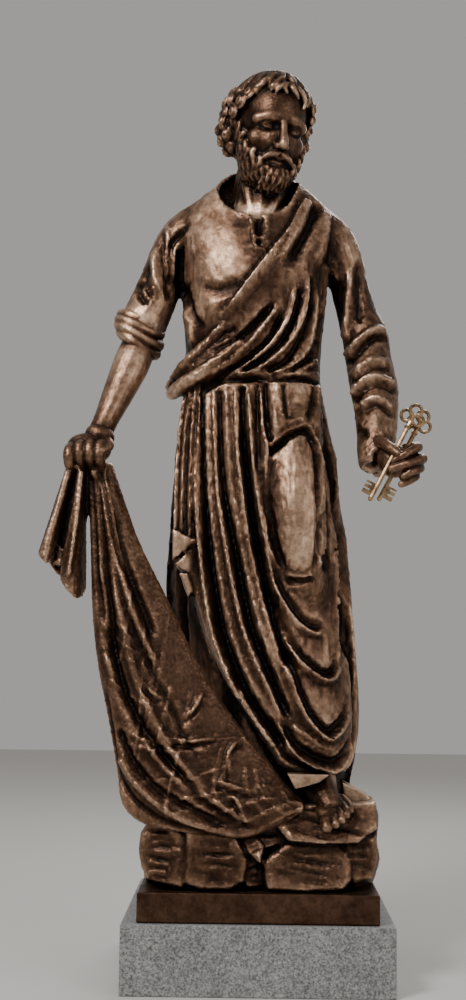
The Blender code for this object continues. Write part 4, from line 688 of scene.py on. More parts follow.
def hoop(centre, lean, radii, thickness, sides=36, round_sides=10, wobble=0.10):
    """A closed roll round a centre, its plane turned by lean in degrees, uneven by wobble."""
    a = np.linspace(0, 2 * math.pi, sides, endpoint=False)[:, None]
    b = np.linspace(0, 2 * math.pi, round_sides, endpoint=False)[None, :]
    fat = thickness * (1 + wobble * np.sin(3 * a + 1))
    x = (radii[0] + fat * np.cos(b)) * np.cos(a)
    y = (radii[1] + fat * np.cos(b)) * np.sin(a)
    z = fat * np.sin(b) + wobble * 20 * np.sin(2 * a)
    points = np.stack([x, y, z], -1).reshape(-1, 3) @ turned(*lean).T + np.array(centre)
    i, j = np.meshgrid(np.arange(sides), np.arange(round_sides), indexing="ij")
    k, m = (i + 1) % sides, (j + 1) % round_sides
    faces = np.stack([i * round_sides + j, k * round_sides + j, k * round_sides + m, i * round_sides + m], -1)
    return points, faces.reshape(-1, 4).tolist()


# Edges of the main fall of the net, from the fist to the foot, as x, y, z
NET_OUTER = [(-388, -140, 1106), (-377, -150, 964), (-367, -160, 784), (-350, -180, 666), (-324, -196, 549),
             (-302, -212, 444), (-288, -222, 378), (-243, -230, 340), (-160, -236, 324), (-55, -238, 318),
             (30, -236, 334), (92, -228, 370)]
NET_INNER = [(-333, -128, 1118), (-297, -138, 1018), (-262, -146, 932), (-203, -158, 816), (-158, -168, 728),
             (-117, -178, 651), (-72, -188, 586), (-33, -195, 534), (-4, -199, 500), (21, -203, 471),
             (54, -208, 428), (94, -212, 388)]
NET_THICK = 30.0
# Folds of the net: the line, its half width, and its depth or height
NET_VALLEYS = [
    ([(-366, 1110), (-344, 963), (-328, 832), (-313, 696), (-293, 620), (-257, 551), (-228, 488)], 15, 22),
    ([(-346, 1104), (-311, 939), (-276, 844), (-246, 776), (-228, 722)], 13, 18),
    ([(-334, 760), (-316, 685), (-285, 604), (-237, 523), (-160, 438), (-107, 387), (-31, 346)], 14, 20),
    ([(-302, 540), (-268, 474), (-212, 415), (-141, 376), (-54, 337)], 12, 17),
    ([(-259, 726), (-228, 650), (-186, 581), (-162, 529), (-114, 466)], 11, 9),
    ([(-376, 1090), (-362, 980), (-352, 850), (-338, 740)], 10, 12),
    ([(-355, 1108), (-326, 970), (-298, 862)], 8, 12),
]
NET_RIDGES = [
    ([(-356, 1100), (-327, 873), (-294, 755), (-266, 650), (-218, 546), (-163, 465), (-84, 378)], 15, 13),
    ([(-338, 1090), (-310, 900), (-281, 800), (-248, 722), (-217, 660)], 12, 12),
    ([(-296, 480), (-254, 420), (-170, 359), (-54, 328), (30, 340)], 12, 12),
    ([(-330, 700), (-292, 616), (-251, 536), (-196, 462), (-125, 405), (-43, 362), (20, 344)], 13, 12),
    ([(-350, 1108), (-318, 960), (-284, 850)], 7, 8),
    ([(-372, 1104), (-356, 960), (-345, 820)], 9, 9),
]
# Fish caught in the net: the line from head to tail fin, and the body's half width
FISH = [
    ([(-164, 562), (-139, 581), (-122, 611), (-118, 640)], 11),
    ([(-62, 440), (-65, 479), (-53, 508), (-28, 522)], 11),
    ([(-98, 436), (-55, 423), (-3, 410)], 9),
    ([(-206, 524), (-155, 514), (-115, 519), (-84, 527)], 8),
    ([(-58, 408), (-42, 386), (-26, 350)], 9),
    ([(-252, 640), (-226, 612), (-206, 604)], 7),
]


def swollen(base, front_swell, back_swell):
    """A ring round a flat line of points, pushed out to the front and to the back."""
    front, behind = base.copy(), base[1:-1][::-1].copy()
    front[:, 1] -= front_swell
    behind[:, 1] += back_swell[1:-1][::-1]
    return np.vstack([front, behind])


def net_fall():
    """The net's long fall, from the fist to the foot, before its folds."""
    rows = 80
    outer, inner = smooth_through(NET_OUTER, rows), smooth_through(NET_INNER, rows)
    s = np.linspace(0, 1, 49)
    swell = np.sin(math.pi * s) ** 0.5
    rings = []
    for n, (a, b) in enumerate(zip(outer, inner)):
        t = n / (rows - 1)
        thick = NET_THICK * (0.6 + 0.75 * math.sin(math.pi * min(t * 0.7 + 0.1, 1)))
        rings.append(swollen(a * (1 - s)[:, None] + b * s[:, None], thick * swell, thick * swell))
    return loft(rings)


# The short end of the net: its top edge at the fist, its hem and its thickness
TAIL_TOP = [(-432, -146, 1112), (-408, -162, 1116), (-386, -146, 1112)]
TAIL_HEM = [(-490, -160, 912), (-470, -182, 892), (-452, -160, 868), (-432, -186, 846),
            (-394, -176, 808), (-382, -150, 832)]
TAIL_THICK = 24.0


def net_tail():
    """The net's short end below the fist: a pleated bell, open and hollow at the hem."""
    columns = 31
    top, hem = smooth_through(TAIL_TOP, columns), smooth_through(TAIL_HEM, columns)
    s = np.linspace(0, 1, columns)
    swell = np.sin(math.pi * s) ** 0.5

    def ring(t, inset, lift):
        """The ring at a share of the way down, drawn in by inset and lifted."""
        base = top * (1 - t) + hem * t
        middle = base.mean(0)
        base = middle + (base - middle) * (1 - inset)
        base[:, 2] += lift
        thick = TAIL_THICK * (0.5 + 0.75 * t) * (1 - inset)
        pleat = 15 * t * np.cos(4 * math.pi * s) * swell * (1 - min(inset * 2.5, 1))
        return swollen(base, thick * swell - pleat, thick * swell + 0.3 * pleat)

    rings = [ring(t, 0, 0) for t in np.linspace(0, 1, 26)]
    rings += [ring(1, 0.14, 2), ring(0.94, 0.26, 4), ring(0.8, 0.44, 8)]
    return loft(rings)


def fish_outline(line, width, count=14):
    """The outline of a fish along its line: a slim body and a forked tail."""
    spine = smooth_through(line, count)
    along = unit(np.gradient(spine, axis=0))
    side = np.stack([-along[:, 1], along[:, 0]], 1)
    t = np.linspace(0, 1, count)
    half = width * (np.sin(math.pi * np.minimum(t / 0.86, 1)) ** 0.7 + 0.9 * ease(0.8, 1.0, t))[:, None]
    return np.vstack([spine + side * half, (spine - side * half)[::-1]])


def carved_net(grid):
    """The gathered net with its folds and fish, its surface still being carved."""
    c = Carving(fused("net", [net_fall(), net_tail()], grid, 3))
    for line, width, depth in NET_VALLEYS:
        c.sink(line, width * 1.15, 0.72 * depth, (0.05, 0.15))
    for line, width, height in NET_RIDGES:
        c.ridge(line, width * 1.1, 0.9 * height, (0.04, 0.2))
    c.sink([(-338, 640), (-318, 540), (-300, 452), (-262, 392), (-190, 346), (-90, 324)], 10, 9,
           (0.1, 0.15))
    c.sink([(-410, 1100), (-424, 1000), (-444, 880)], 10, 16, (0.03, 0.01))
    c.crest([(-424, 1100), (-446, 1000), (-474, 900)], 10, 9, (0.05, 0.01))
    c.crest([(-398, 1100), (-404, 980), (-414, 860)], 10, 10, (0.05, 0.01))
    for line in ([(-290, 1000), (-240, 860), (-150, 700), (-60, 560)],
                 [(-342, 1000), (-300, 780), (-230, 600), (-130, 470)]):
        c.sink(line, 12, 11, (0.1, 0.2), "back")
    c.end()
    c.begin()
    for line, width in FISH:
        c.patch(fish_outline(line, width), 8, 9)
        c.sink(moved(line, -2, -width - 4), 6, 5, (0.1, 0.1))
    return c


# The bare forearm from the elbow to the wrist: x, y, z, half width and half depth
FOREARM = [
    (-272, -24, 1450, 34, 34), (-284, -36, 1408, 39, 40), (-300, -58, 1356, 42, 42),
    (-328, -85, 1280, 35, 36), (-351, -108, 1217, 28, 30), (-364, -118, 1182, 29, 26),
    (-374, -124, 1160, 34, 24),
]


def right_arm():
    """The bare forearm, the rolled sleeve above it and the fist on the net."""
    solids = [
        sweep(FOREARM),
        hoop((-285, -20, 1470), (10, 14, 0), (46, 46), 12),
        hoop((-287, -23, 1450), (10, 21, 0), (49, 49), 14),
        hoop((-288, -27, 1430), (10, 28, 0), (50, 49), 15),
        hoop((-289, -30, 1410), (10, 33, 0), (46, 47), 14),
        ball((-288, -28, 1432), (52, 48, 34), (0, 26, 0)),
        ball((-384, -138, 1148), (50, 33, 34), (0, 8, 0)),
        ball((-362, -128, 1178), (34, 26, 26), (0, 20, 0)),
    ]
    for i, drop in enumerate((-8, 0, 2, 0)):
        x = -424 + 22 * i
        solids.append(tube([(x + 8, -146, 1160 + drop, 12), (x + 1, -170, 1148 + drop, 13.5),
                            (x + 1, -177, 1124 + drop, 13), (x + 4, -156, 1106 + drop, 11.5)]))
    solids.append(tube([(-352, -132, 1172, 13), (-338, -160, 1152, 12), (-352, -180, 1136, 10)]))
    return solids


def left_hand():
    """The hand that holds the keys: thumb over the rods, four fingers curled round from the right."""
    fingers = [
        [(318, -176, 1150, 12), (336, -204, 1148, 11.5), (333, -240, 1142, 10.5), (309, -258, 1126, 10),
         (284, -252, 1112, 9)],
        [(322, -178, 1126, 12), (344, -206, 1122, 11.5), (343, -242, 1117, 10.5), (314, -259, 1105, 10),
         (278, -252, 1095, 9)],
        [(320, -180, 1104, 11.5), (340, -206, 1102, 11), (338, -238, 1097, 10), (320, -254, 1088, 9.5),
         (304, -252, 1078, 8.5)],
        [(312, -182, 1084, 11), (330, -206, 1084, 10), (330, -232, 1080, 9.5), (315, -246, 1070, 9),
         (299, -244, 1062, 8)],
    ]
    return [
        tube([(262, -90, 1196, 25), (262, -128, 1160, 25), (272, -160, 1138, 26)]),
        ball((288, -188, 1120), (35, 35, 38), (0, -20, 0)),
        tube([(254, -150, 1170, 14), (262, -196, 1158, 12.5), (276, -236, 1142, 11.5),
              (290, -256, 1127, 9.5)]),
    ] + [tube(f) for f in fingers]


# Boulders: centre, radii and the seed that shakes their cuts
BOULDERS = [
    ((-204, -104, 262), (46, 96, 60), 3),
    ((-86, -144, 262), (56, 58, 50), 5),
    ((104, -144, 252), (98, 62, 42), 12),
    ((122, -120, 312), (92, 100, 54), 14),
    ((204, -92, 318), (54, 108, 66), 17),
    ((216, -70, 254), (42, 130, 50), 21),
    ((-150, 110, 262), (108, 140, 72), 24),
    ((110, 130, 282), (128, 128, 86), 27),
    ((-10, 120, 258), (110, 136, 86), 31),
    ((-6, -14, 248), (216, 176, 64), 35),
]


# Blocks of stone in front: outline of x and z, the front's y, and how far it leans back per millimetre
BLOCKS = [
    ([(-232, 344), (-250, 318), (-253, 283), (-246, 250), (-232, 226), (-158, 212), (-154, 262), (-158, 322),
      (-182, 342)], -234, (-0.20, 0.20)),
    ([(-154, 330), (-100, 328), (-48, 322), (-22, 276), (-28, 228), (-60, 212), (-120, 210), (-156, 222)],
     -254, (-0.05, 0.12)),
    ([(-44, 330), (-18, 330), (12, 302), (4, 266), (-22, 286)], -250, (-0.3, 0.6)),
    ([(-22, 340), (44, 340), (56, 304), (10, 292)], -228, (0.2, 0.3)),
    ([(-27, 280), (-6, 272), (18, 212), (-26, 214)], -240, (0.4, -0.1)),
    ([(3, 268), (40, 292), (66, 312), (120, 312), (170, 304), (198, 280), (194, 232), (176, 214), (100, 209),
      (18, 213)], -246, (0.0, 0.30)),
    ([(176, 308), (214, 322), (250, 318), (252, 276), (240, 232), (200, 222), (198, 280)], -230, (0.4, 0.1)),
    ([(34, 342), (60, 374), (108, 384), (206, 386), (248, 388), (252, 338), (206, 308), (120, 306),
      (60, 312)], -238, (0.05, 0.6)),
]


def block_of_stone(outline, front, lean):
    """A block whose front leans, with a broken edge round it, running back into the boulders."""
    flat = np.asarray(outline, float)
    middle = flat.mean(0)
    rings = []
    for share, back in ((0.87, 0.0), (0.97, 5.0), (1.01, 20.0), (1.01, 110.0)):
        ring = middle + (flat - middle) * share
        tilt = (ring - middle) @ np.array(lean)
        rings.append(np.column_stack([ring[:, 0], front + back + tilt * (back < 100), ring[:, 1]]))
    return loft(rings)


def ground():
    """The boulders, and the blocks that stand in front of them."""
    return [boulder(*b) for b in BOULDERS] + [block_of_stone(*b) for b in BLOCKS]


def prism(outline, front, behind):
    """A flat outline of x and z, as thick as the way from front to behind."""
    flat = np.asarray(outline, float)
    return loft([np.column_stack([flat[:, 0], np.full(len(flat), y), flat[:, 1]]) for y in (front, behind)])


def foot():
    """The bare front foot, the tunic's hem over it and the cloth's end behind it."""
    solids = [
        tube([(132, -78, 466, 32), (131, -124, 436, 36), (137, -170, 404, 34), (150, -208, 380, 28)]),
        ball((156, -214, 368), (39, 46, 20), (20, 12, 0)),
        prism([(60, 446), (150, 446), (128, 430), (104, 422), (76, 415)], -222, -150),
        prism([(180, 424), (240, 393), (236, 381), (186, 378)], -160, -70),
    ]
    for x, y, z, r in ((141, -268, 343, 13), (159, -266, 349, 10), (172, -260, 357, 9.5),
                       (183, -250, 366, 9), (192, -238, 374, 8)):
        solids.append(tube([(x * 0.6 + 62, y + 48, z + 22, r), (x - 1, y + 14, z + 9, r),
                            (x, y, z, r * 0.92)]))
    return solids


# How often the face and its features are relaxed where they grow together on a 1 mm grid
FACE_BLEND = 280
FEATURE_BLEND = 26
# The head in its own drawing sits at this place, bowed, leaning and turned by so many degrees
HEAD_AT = np.array((16.0, -36.0, 1920.0))
HEAD_SCALE = 1.05
HEAD_BOW = 12.0
HEAD_LEAN = 6.0
HEAD_TURN = 22.0


def head_frame():
    """The 3x3 matrix that turns the head's drawing into the figure's."""
    return turned(0, HEAD_LEAN, 0) @ turned(0, 0, HEAD_TURN) @ turned(HEAD_BOW, 0, 0)


# The skull's middle and half sizes in the head's drawing
SKULL_AT = np.array((0.0, 14.0, 32.0))
SKULL = np.array((77.0, 95.0, 86.0))


def on_skull(polar, around, over):
    """Points over the skull: degrees down from the crown, degrees round from the face, share above it."""
    a, b = np.radians(polar), np.radians(around)
    ray = np.stack([np.sin(a) * np.sin(b), -np.sin(a) * np.cos(b), np.cos(a)], -1)
    return SKULL_AT + SKULL * ray * np.asarray(over)[..., None]


def curl(centre, out, size, thick, phase, steps=13):
    """A wavy lock wound round the direction out: an outer and an inner strand."""
    out = unit(out)
    level = unit(np.cross(out, (0.0, 0.0, 1.0)))
    upright = np.cross(level, out)
    t = np.linspace(0, 1, steps)[:, None]
    turn = phase + 2 * math.pi * 0.95 * t
    runs = []
    for share, lift in ((1.0, 0.0), (0.45, 0.7)):
        wound = (level * 0.85 * np.cos(turn) + upright * 1.1 * np.sin(turn)) * size * share * (1 - 0.45 * t)
        path = centre + wound + out * thick * (0.6 * t + lift)
        runs.append(domed(np.hstack([path, thick * (0.8 - 0.3 * t)]), steps))
    return runs


def hairline(around):
    """Degrees down from the crown where the hair ends, at a number of degrees round from the face."""
    facing = abs(around)
    if facing < 62:
        return 57 + max(facing - 30, 0) * 0.75
    return 84


def hair():
    """Wavy strands combed down from the crown, then rows of curls over the temples, the ears and the nape."""
    runs = []
    strands_round, curls_round = 46, 24
    t = np.linspace(0, 1, 17)
    for n in range(strands_round):
        around = -180 + 360 * (n + 0.5) / strands_round
        facing = abs(around)
        polar = 4 + (hairline(around) - 4) * t
        swing = around + (20 * t * math.copysign(1, around)) * (facing < 75) + 6 * np.sin(7 * t + n * 1.9) * t
        over = 1.08 + 0.035 * np.sin(9.5 * t + n * 2.3) * t + 0.10 * (facing > 60) * t**2
        thick = 9.0 * (1 - 0.3 * t**3)
        runs.append(domed(np.column_stack([on_skull(polar, swing, over), thick]), 17))
    # Rows of curls: degrees down from the crown, and degrees left bare on each side of the face
    for row, (polar, front) in enumerate(((58, 50), (71, 58), (84, 66), (97, 74), (110, 84), (122, 104))):
        for n in range(curls_round):
            around = -180 + 360 * (n + 0.5 * (row % 2)) / curls_round
            if abs(around) < front:
                continue
            bulge = math.exp(-((around + 110) / 34) ** 2) * math.sin(math.pi * (polar - 55) / 70)
            flare = 1.13 + 0.09 * math.sin(math.pi * row / 5) + 0.02 * math.sin(3.1 * n + row) + 0.24 * bulge
            flare += 0.07 * (0 < around < 110)
            centre = on_skull(polar, around, flare)
            out = centre - SKULL_AT
            size = 13 + 2.5 * math.sin(n * 2.7 + row)
            runs += curl(centre - unit(out) * 9, out, size * 1.15, 6.8, 1.7 * n + row)
    # Fuller curls over the ears
    for centre, radii, count in (((-58, 30, -42), (48, 46, 58), 34), ((60, 8, -40), (36, 46, 52), 26)):
        for k, ray in enumerate(spiral(count)):
            if ray[0] * centre[0] > -12 and ray[1] > -0.75:
                runs += curl(SKULL_AT + centre + ray * radii - ray * 3, ray, 13, 7.0, 2.1 * k)
    # Short locks over the forehead, one of them longer
    locks = ((-30, 62), (-16, 64), (-2, 62), (12, 66), (26, 78), (38, 70), (50, 72))
    for k, (around, end) in enumerate(locks):
        turn = np.linspace(0, 1, 9)
        polar = 46 + (end - 46) * turn
        swing = around + 7 * np.sin(3.4 * turn + k * 1.3)
        over = 1.06 + 0.05 * np.sin(math.pi * turn)
        runs.append(domed(np.column_stack([on_skull(polar, swing, over), 7.5 * (1 - 0.55 * turn**2)]), 9))
    masses = (((0, 8, -2), (84, 82, 88)), ((0, 16, -54), (84, 72, 68)),
              ((-58, 30, -42), (46, 44, 56)), ((60, 8, -40), (34, 44, 50)))
    return [ball(SKULL_AT + middle, radii) for middle, radii in masses] + [strands(runs, 1)]


def beard():
    """A short full beard of wavy locks from ear to ear, and a moustache over the lip."""
    runs = []
    # Rows of locks: height, half width, depth, degrees left bare in front, and how many
    rows = ((-26, 72, 44, 74, 13), (-44, 70, 56, 62, 15), (-60, 66, 62, 48, 17), (-76, 60, 64, 34, 18),
            (-92, 52, 62, 0, 18), (-106, 42, 56, 0, 14), (-118, 30, 44, 0, 9))
    t = np.linspace(0, 1, 8)[:, None]
    for row, (z, width, depth, gap, count) in enumerate(rows):
        for n in range(count):
            around = -106 + 212 * (n + 0.5 * (1 + row % 2) * 0.66) / count
            if abs(around) < gap:
                continue
            a = math.radians(around)
            out = np.array((math.sin(a), -math.cos(a), 0.0))
            side = np.array((math.cos(a), math.sin(a), 0.0))
            root = np.array((width * math.sin(a), -24 - depth * math.cos(a), z))
            tuck = 3 + 9 * (row > 4)
            path = root + t * (-4 * math.sin(a), tuck, -30 + 4 * (row > 4)) + out * 4 * np.sin(math.pi * t)
            path = path + side * 2.6 * np.sin(2 * math.pi * t * 1.1 + 1.9 * n + row)
            runs.append(domed(np.hstack([path, 7.4 * (1 - 0.45 * t**2)]), 8))
    # The moustache: short locks that fan out and down from under the nose
    for side in (-1, 1):
        for k in range(7):
            root = side * (2 + 2.6 * k)
            top = -55 - 0.5 * k
            reach = side * (8 + 4.6 * k)
            lock = [(root, -89 + 0.5 * k, top, 3.4),
                    ((root + reach) / 2 + side, -91 + 0.9 * k, top - 6 - 0.4 * k, 4.2),
                    (reach + side * 2, -88 + 1.6 * k, top - 11 - 1.4 * k, 2.8)]
            runs.append(domed(lock, 8))
    # Small locks under the lower lip and over the chin
    chin = ((-86, 12, -86), (-95, 30, -92), (-106, 34, -92), (-116, 30, -84))
    for row, (z, width, front) in enumerate(chin):
        for n in range(4 + row):
            share = (n + 0.5) / (4 + row) * 2 - 1
            x = width * share
            y = front + 22 * share**2
            sway = math.sin(n * 2 + row)
            lock = [(x, y, z, 5.6), (x + 2.5 * sway, y - 3, z - 11, 6.0), (x - 2 * sway, y + 2, z - 22, 3.6)]
            runs.append(domed(lock, 7))
    return [ball((0, -42, -101), (45, 46, 32)), ball((0, -22, -68), (68, 52, 38)), strands(runs, 1)]


def face():
    """The skull, jaw, brow and cheeks: eyes at half the head's height, the nose's base at three quarters."""
    solids = [
        ball(SKULL_AT, SKULL),
        ball((0, -30, -38), (59, 56, 72)),
        ball((0, -42, -80), (46, 44, 38)),
        ball((0, -70, -100), (24, 22, 19)),
        tube([(-52, -50, 10, 15), (-30, -63, 17, 15), (0, -67, 16, 13), (30, -63, 17, 15),
              (52, -50, 10, 15)]),
    ]
    for side in (-1, 1):
        solids.append(ball((side * 38, -41, -32), (30, 27, 30)))
    return solids


def features():
    """Nose, lips and ears."""
    solids = [
        tube([(0, -73, 15, 9), (0, -85, -8, 8.5), (0, -98, -30, 10), (0, -101, -40, 11)]),
        tube([(-23, -75, -72, 3), (-9, -86, -68, 5), (0, -87, -69.5, 4.6), (9, -86, -68, 5),
              (23, -75, -72, 3)]),
        tube([(-19, -77, -75, 3.5), (0, -85, -79, 6.5), (19, -77, -75, 3.5)]),
    ]
    for side in (-1, 1):
        solids += [ball((side * 10, -90, -43), (7.5, 12, 7.5)), ball((side * 76, 6, -12), (8, 17, 30))]
    return solids


# The left eye's middle, mirrored for the right one, and the eyeball's radius
EYE_AT = np.array((31.0, -55.0, -1.0))
EYEBALL = 13.0


def lid(side, rise, fall, radius):
    """An eyelid's rim over the eyeball, from its outer corner to its inner one, arched by rise."""
    rim = []
    for dx in np.linspace(EYEBALL, -EYEBALL, 9) * 0.98:
        dz = rise * (1 - (dx / EYEBALL) ** 2) + fall * dx / EYEBALL
        dy = math.sqrt(max((EYEBALL + 0.6) ** 2 - dx**2 - dz**2, 4.0))
        rim.append((side * (EYE_AT[0] + dx), EYE_AT[1] - dy, EYE_AT[2] + dz, radius))
    return tube(rim)


def eyes():
    """Eyeballs under their lids."""
    solids = []
    for side in (-1, 1):
        solids.append(ball(EYE_AT * (side, 1, 1), (EYEBALL, EYEBALL, EYEBALL)))
        for rise, radius in ((6.5, 2.6), (-5.0, 2.0), (10.0, 2.2)):
            solids.append(lid(side, rise, -1.5, radius))
    return solids


def head(grid):
    """The head with its carved eye sockets and brows, as solids in the figure's drawing."""
    c = Carving(fused("head", face(), grid, round(FACE_BLEND / grid**2)))
    for side in (-1, 1):
        c.dent((side * 31, -74, -3), (25, 40, 16), (0, 13, 0))
        c.dent((side * 14, -76, 2), (12, 40, 14), (0, 7, 0))
        c.dent((side * 36, -74, -60), (18, 34, 26), (0, 6, 0))
        c.ridge([(side * 11, 19), (side * 28, 26), (side * 50, 17)], 9, 2.0, (0.2, 0.4))
    c.end()
    c = Carving(fused("head", [solid_of(c.obj)] + features(), grid, round(FEATURE_BLEND / grid**2)))
    for side in (-1, 1):
        c.sink([(side * 17, -38), (side * 25, -50), (side * 34, -66)], 6, 2.6, (0.3, 0.3))
        c.ridge([(side * 2, -52), (side * 2.5, -60)], 4, 1.2, (0.3, 0.3))
    c.sink([(-23, -74), (-8, -73.5), (0, -74.5), (8, -73.5), (23, -74)], 4, 3.0, (0.15, 0.15))
    c.end()
    solids = [solid_of(c.obj)] + eyes() + hair() + beard()
    return [(p * HEAD_SCALE @ head_frame().T + HEAD_AT, f) for p, f in solids]


# The rim of the neck's opening: its middle, the turn of its plane in degrees, and its half widths
COLLAR_AT = (-16, -15, 1772)
COLLAR_LEAN = (43, 2, 0)
COLLAR_RADII = (94, 120)
COLLAR_THICK = 7.0


def neck():
    """The neck's mass with two cords in front and a filler under the mantle behind."""
    return [
        tube([(-6, 2, 1706, 74), (0, 8, 1770, 64), (8, 2, 1832, 57), (14, -8, 1890, 52)]),
        tube([(-38, 0, 1866, 17), (-36, -28, 1790, 17), (-24, -52, 1712, 16)]),
        tube([(54, -16, 1836, 16), (40, -34, 1776, 16), (12, -54, 1712, 16)]),
        tube([(-34, 44, 1740, 40), (-34, 40, 1800, 38), (-24, 36, 1870, 34)]),
    ]


def collar():
    """The rim round the neck, open in front where the tunic is slit."""
    angles = np.radians(np.linspace(-78, 258, 40))
    ring = np.column_stack([COLLAR_RADII[0] * np.cos(angles), COLLAR_RADII[1] * np.sin(angles), 0 * angles])
    ring = ring @ turned(*COLLAR_LEAN).T + COLLAR_AT
    thick = np.full(len(ring), COLLAR_THICK)
    return [strands([domed(np.column_stack([ring, thick]), 90)], 1)]


def bundle():
    """The mantle's gathered folds at the hip: three rolls over the belly and one round the back."""
    return [
        tube([(-200, -40, 1326, 14), (-174, -82, 1348, 16), (-132, -106, 1386, 15), (-90, -118, 1424, 9)]),
        tube([(-186, -44, 1312, 16), (-160, -84, 1332, 18), (-120, -104, 1364, 18), (-70, -112, 1410, 12)]),
        tube([(-206, -36, 1292, 16), (-176, -84, 1305, 19), (-122, -112, 1336, 18), (-52, -128, 1390, 11)]),
        tube([(-204, -20, 1310, 20), (-196, 40, 1322, 16), (-150, 104, 1350, 12), (-70, 138, 1420, 9)]),
    ]


# The mantle's end at the hip: levels as height, left, right and front, then the folds of its hem
HIP_THICK = 60
HIP_LEVELS = [
    (1296, -176, -138, -100), (1200, -190, -141, -112), (1100, -195, -142, -122), (1000, -195, -142, -130),
    (955, -194, -141, -132),
]
HIP_HEM = [
    ([(-195, 972), (-141, 943), (-195, 902)], -140),
    ([(-190, 893), (-140, 938), (-142, 864)], -134),
    ([(-180, 874), (-139, 864), (-159, 816)], -128),
]


def hip_fall():
    """The mantle's end at the hip: three pleats side by side, its hem folded to and fro below."""
    s = np.linspace(0, 1, 31)
    rings = []
    for z, left, right, front in HIP_LEVELS:
        x = left + (right - left) * s
        y = front + 26 * (1 - s) ** 2 - 5 * np.cos(6 * math.pi * s)
        level = np.full(len(s), z)
        behind = np.column_stack([x[::-1], np.full(len(s), front + HIP_THICK), level])
        rings.append(np.vstack([np.column_stack([x, y, level]), behind]))
    return [loft(rings)] + [prism(outline, front, front + HIP_THICK) for outline, front in HIP_HEM]


def drapery():
    """The robe with its carved folds, the collar and the gathered mantle."""
    robe = carve_robe(fused("robe", robe_masses(), ROBE_GRID, ROBE_BLEND))
    c = Carving(robe)
    # Opens the left cuff over the wrist, and sinks the neck's opening
    c.dent((258, -146, 1126), (38, 38, 30), (-2, 34, 44))
    c.hollow(COLLAR_AT, COLLAR_LEAN, COLLAR_RADII, 26)
    c.end()
    return [solid_of(robe)] + collar() + bundle() + hip_fall()


# Cords of the net in each slanting family, and the half width of one
CORDS = 15
CORD_WIDTH = 3.8


def tie_cords(c):
    """Thin cords that cross over the net's surface in two slanting families."""
    outer, inner = smooth_through(NET_OUTER, 60), smooth_through(NET_INNER, 60)
    t = np.linspace(0, 1, 60)
    shake = np.random.default_rng(7)
    for n in range(CORDS):
        for lean in (1, -1):
            start = 0.12 + 0.055 * n + shake.uniform(-0.02, 0.02)
            reach = (t - start) / shake.uniform(0.22, 0.36)
            s = reach if lean > 0 else 1 - reach
            crossing = (reach > shake.uniform(0.03, 0.3)) & (reach < shake.uniform(0.6, 0.97))
            s = s + 0.05 * np.sin(9 * t + 2 * n)
            line = (outer * (1 - s)[:, None] + inner * s[:, None])[crossing][:, (0, 2)]
            if len(line) > 3:
                c.ridge(line[::3], CORD_WIDTH, shake.uniform(2.4, 3.6), (0.1, 0.1))


def chisel(c):
    """Chisel marks across the stones in front: short curved grooves that follow one another downwards."""
    for n, (outline, *_) in enumerate(BLOCKS):
        shake = np.random.default_rng(n + 100)
        low, high = np.min(outline, axis=0), np.max(outline, axis=0)
        middle, half = (low + high) / 2, (high - low) / 2
        rows = max(3, int(half[1] / 6))
        for k in range(rows):
            z = middle[1] + half[1] * (0.8 - 1.6 * (k + 0.5) / rows)
            tilt, bow = shake.uniform(-0.3, 0.05), shake.uniform(-9, 9)
            begin, stop = shake.uniform(-0.95, -0.3), shake.uniform(0.3, 0.95)
            line = [(middle[0] + half[0] * u, z + half[0] * tilt * u + bow * (1 - u * u))
                    for u in np.linspace(begin, stop, 5)]
            c.stroke(line, shake.uniform(5, 8), shake.uniform(-4.2, -2.4), "ridge", (0.25, 0.25))


def placed(solid):
    """A drawn solid in metres, standing on the slab."""
    points = (np.asarray(solid[0], float) - (0, 0, FOOT_MM)) * MM
    return points + (0, 0, SLAB_TOP), solid[1]


# In metres: from how far back and under what height the figure lies in its own shade
SHADE_FROM = (-0.075, 0.0)
SHADE_UNDER = (1.25, 1.12)


def store_wear_and_shade(mesh, values):
    """Stores each point's patina and painted shade value where the bronze reads it."""
    layer = mesh.attributes.new("wear_and_shade", "FLOAT", "POINT")
    layer.data.foreach_set("value", values.astype(np.float32))


def wear_and_shade(obj, rounds, reach, level=0.5, shaded=0.0):
    """Stores on each point how far it stands proud of the surface around it: 1 proud, 0 sunk.

    What lies back below the hips is darkened by the shaded amount: painted shade, not patina."""
    mesh = obj.data
    count = len(mesh.vertices)
    points = table_of(mesh.vertices, "co")
    normals = table_of(mesh.vertices, "normal")
    a, b = table_of(mesh.edges, "vertices", 2, np.int32).T
    links = np.maximum(np.bincount(a, minlength=count) + np.bincount(b, minlength=count), 1)
    even = points.astype(float)
    for _ in range(rounds):
        around = [np.bincount(a, even[b, k], count) + np.bincount(b, even[a, k], count) for k in range(3)]
        even = 0.5 * even + 0.5 * np.stack(around, 1) / links[:, None]
    rise = ((points - even) * normals).sum(1)
    place = points.astype(float)
    # Painted shade: the figure's back and low sides are darkened as if they lay in their own shade
    behind = ease(*SHADE_FROM, place[:, 1]) * ease(*SHADE_UNDER, place[:, 2]) * shaded
    store_wear_and_shade(mesh, np.clip(level - behind + rise / (2 * reach), 0, 1))


WHITE = (1.0, 1.0, 1.0)


def grey(value):
    """A colour with one value for red, green and blue."""
    return (value, value, value)


def node(tree, kind, **values):
    """A new node of a material, with its settings."""
    made = tree.nodes.new(kind)
    for name, value in values.items():
        setattr(made, name, value)
    return made


def ramp(tree, source, stops):
    """A colour ramp from (place, colour) stops."""
    made = tree.nodes.new("ShaderNodeValToRGB")
    steps = made.color_ramp.elements
    while len(steps) < len(stops):
        steps.new(0.5)
    for step, (place, colour) in zip(steps, stops):
        step.position = place
        step.color = (*colour, 1)
    tree.links.new(source, made.inputs["Fac"])
    return made.outputs["Color"]


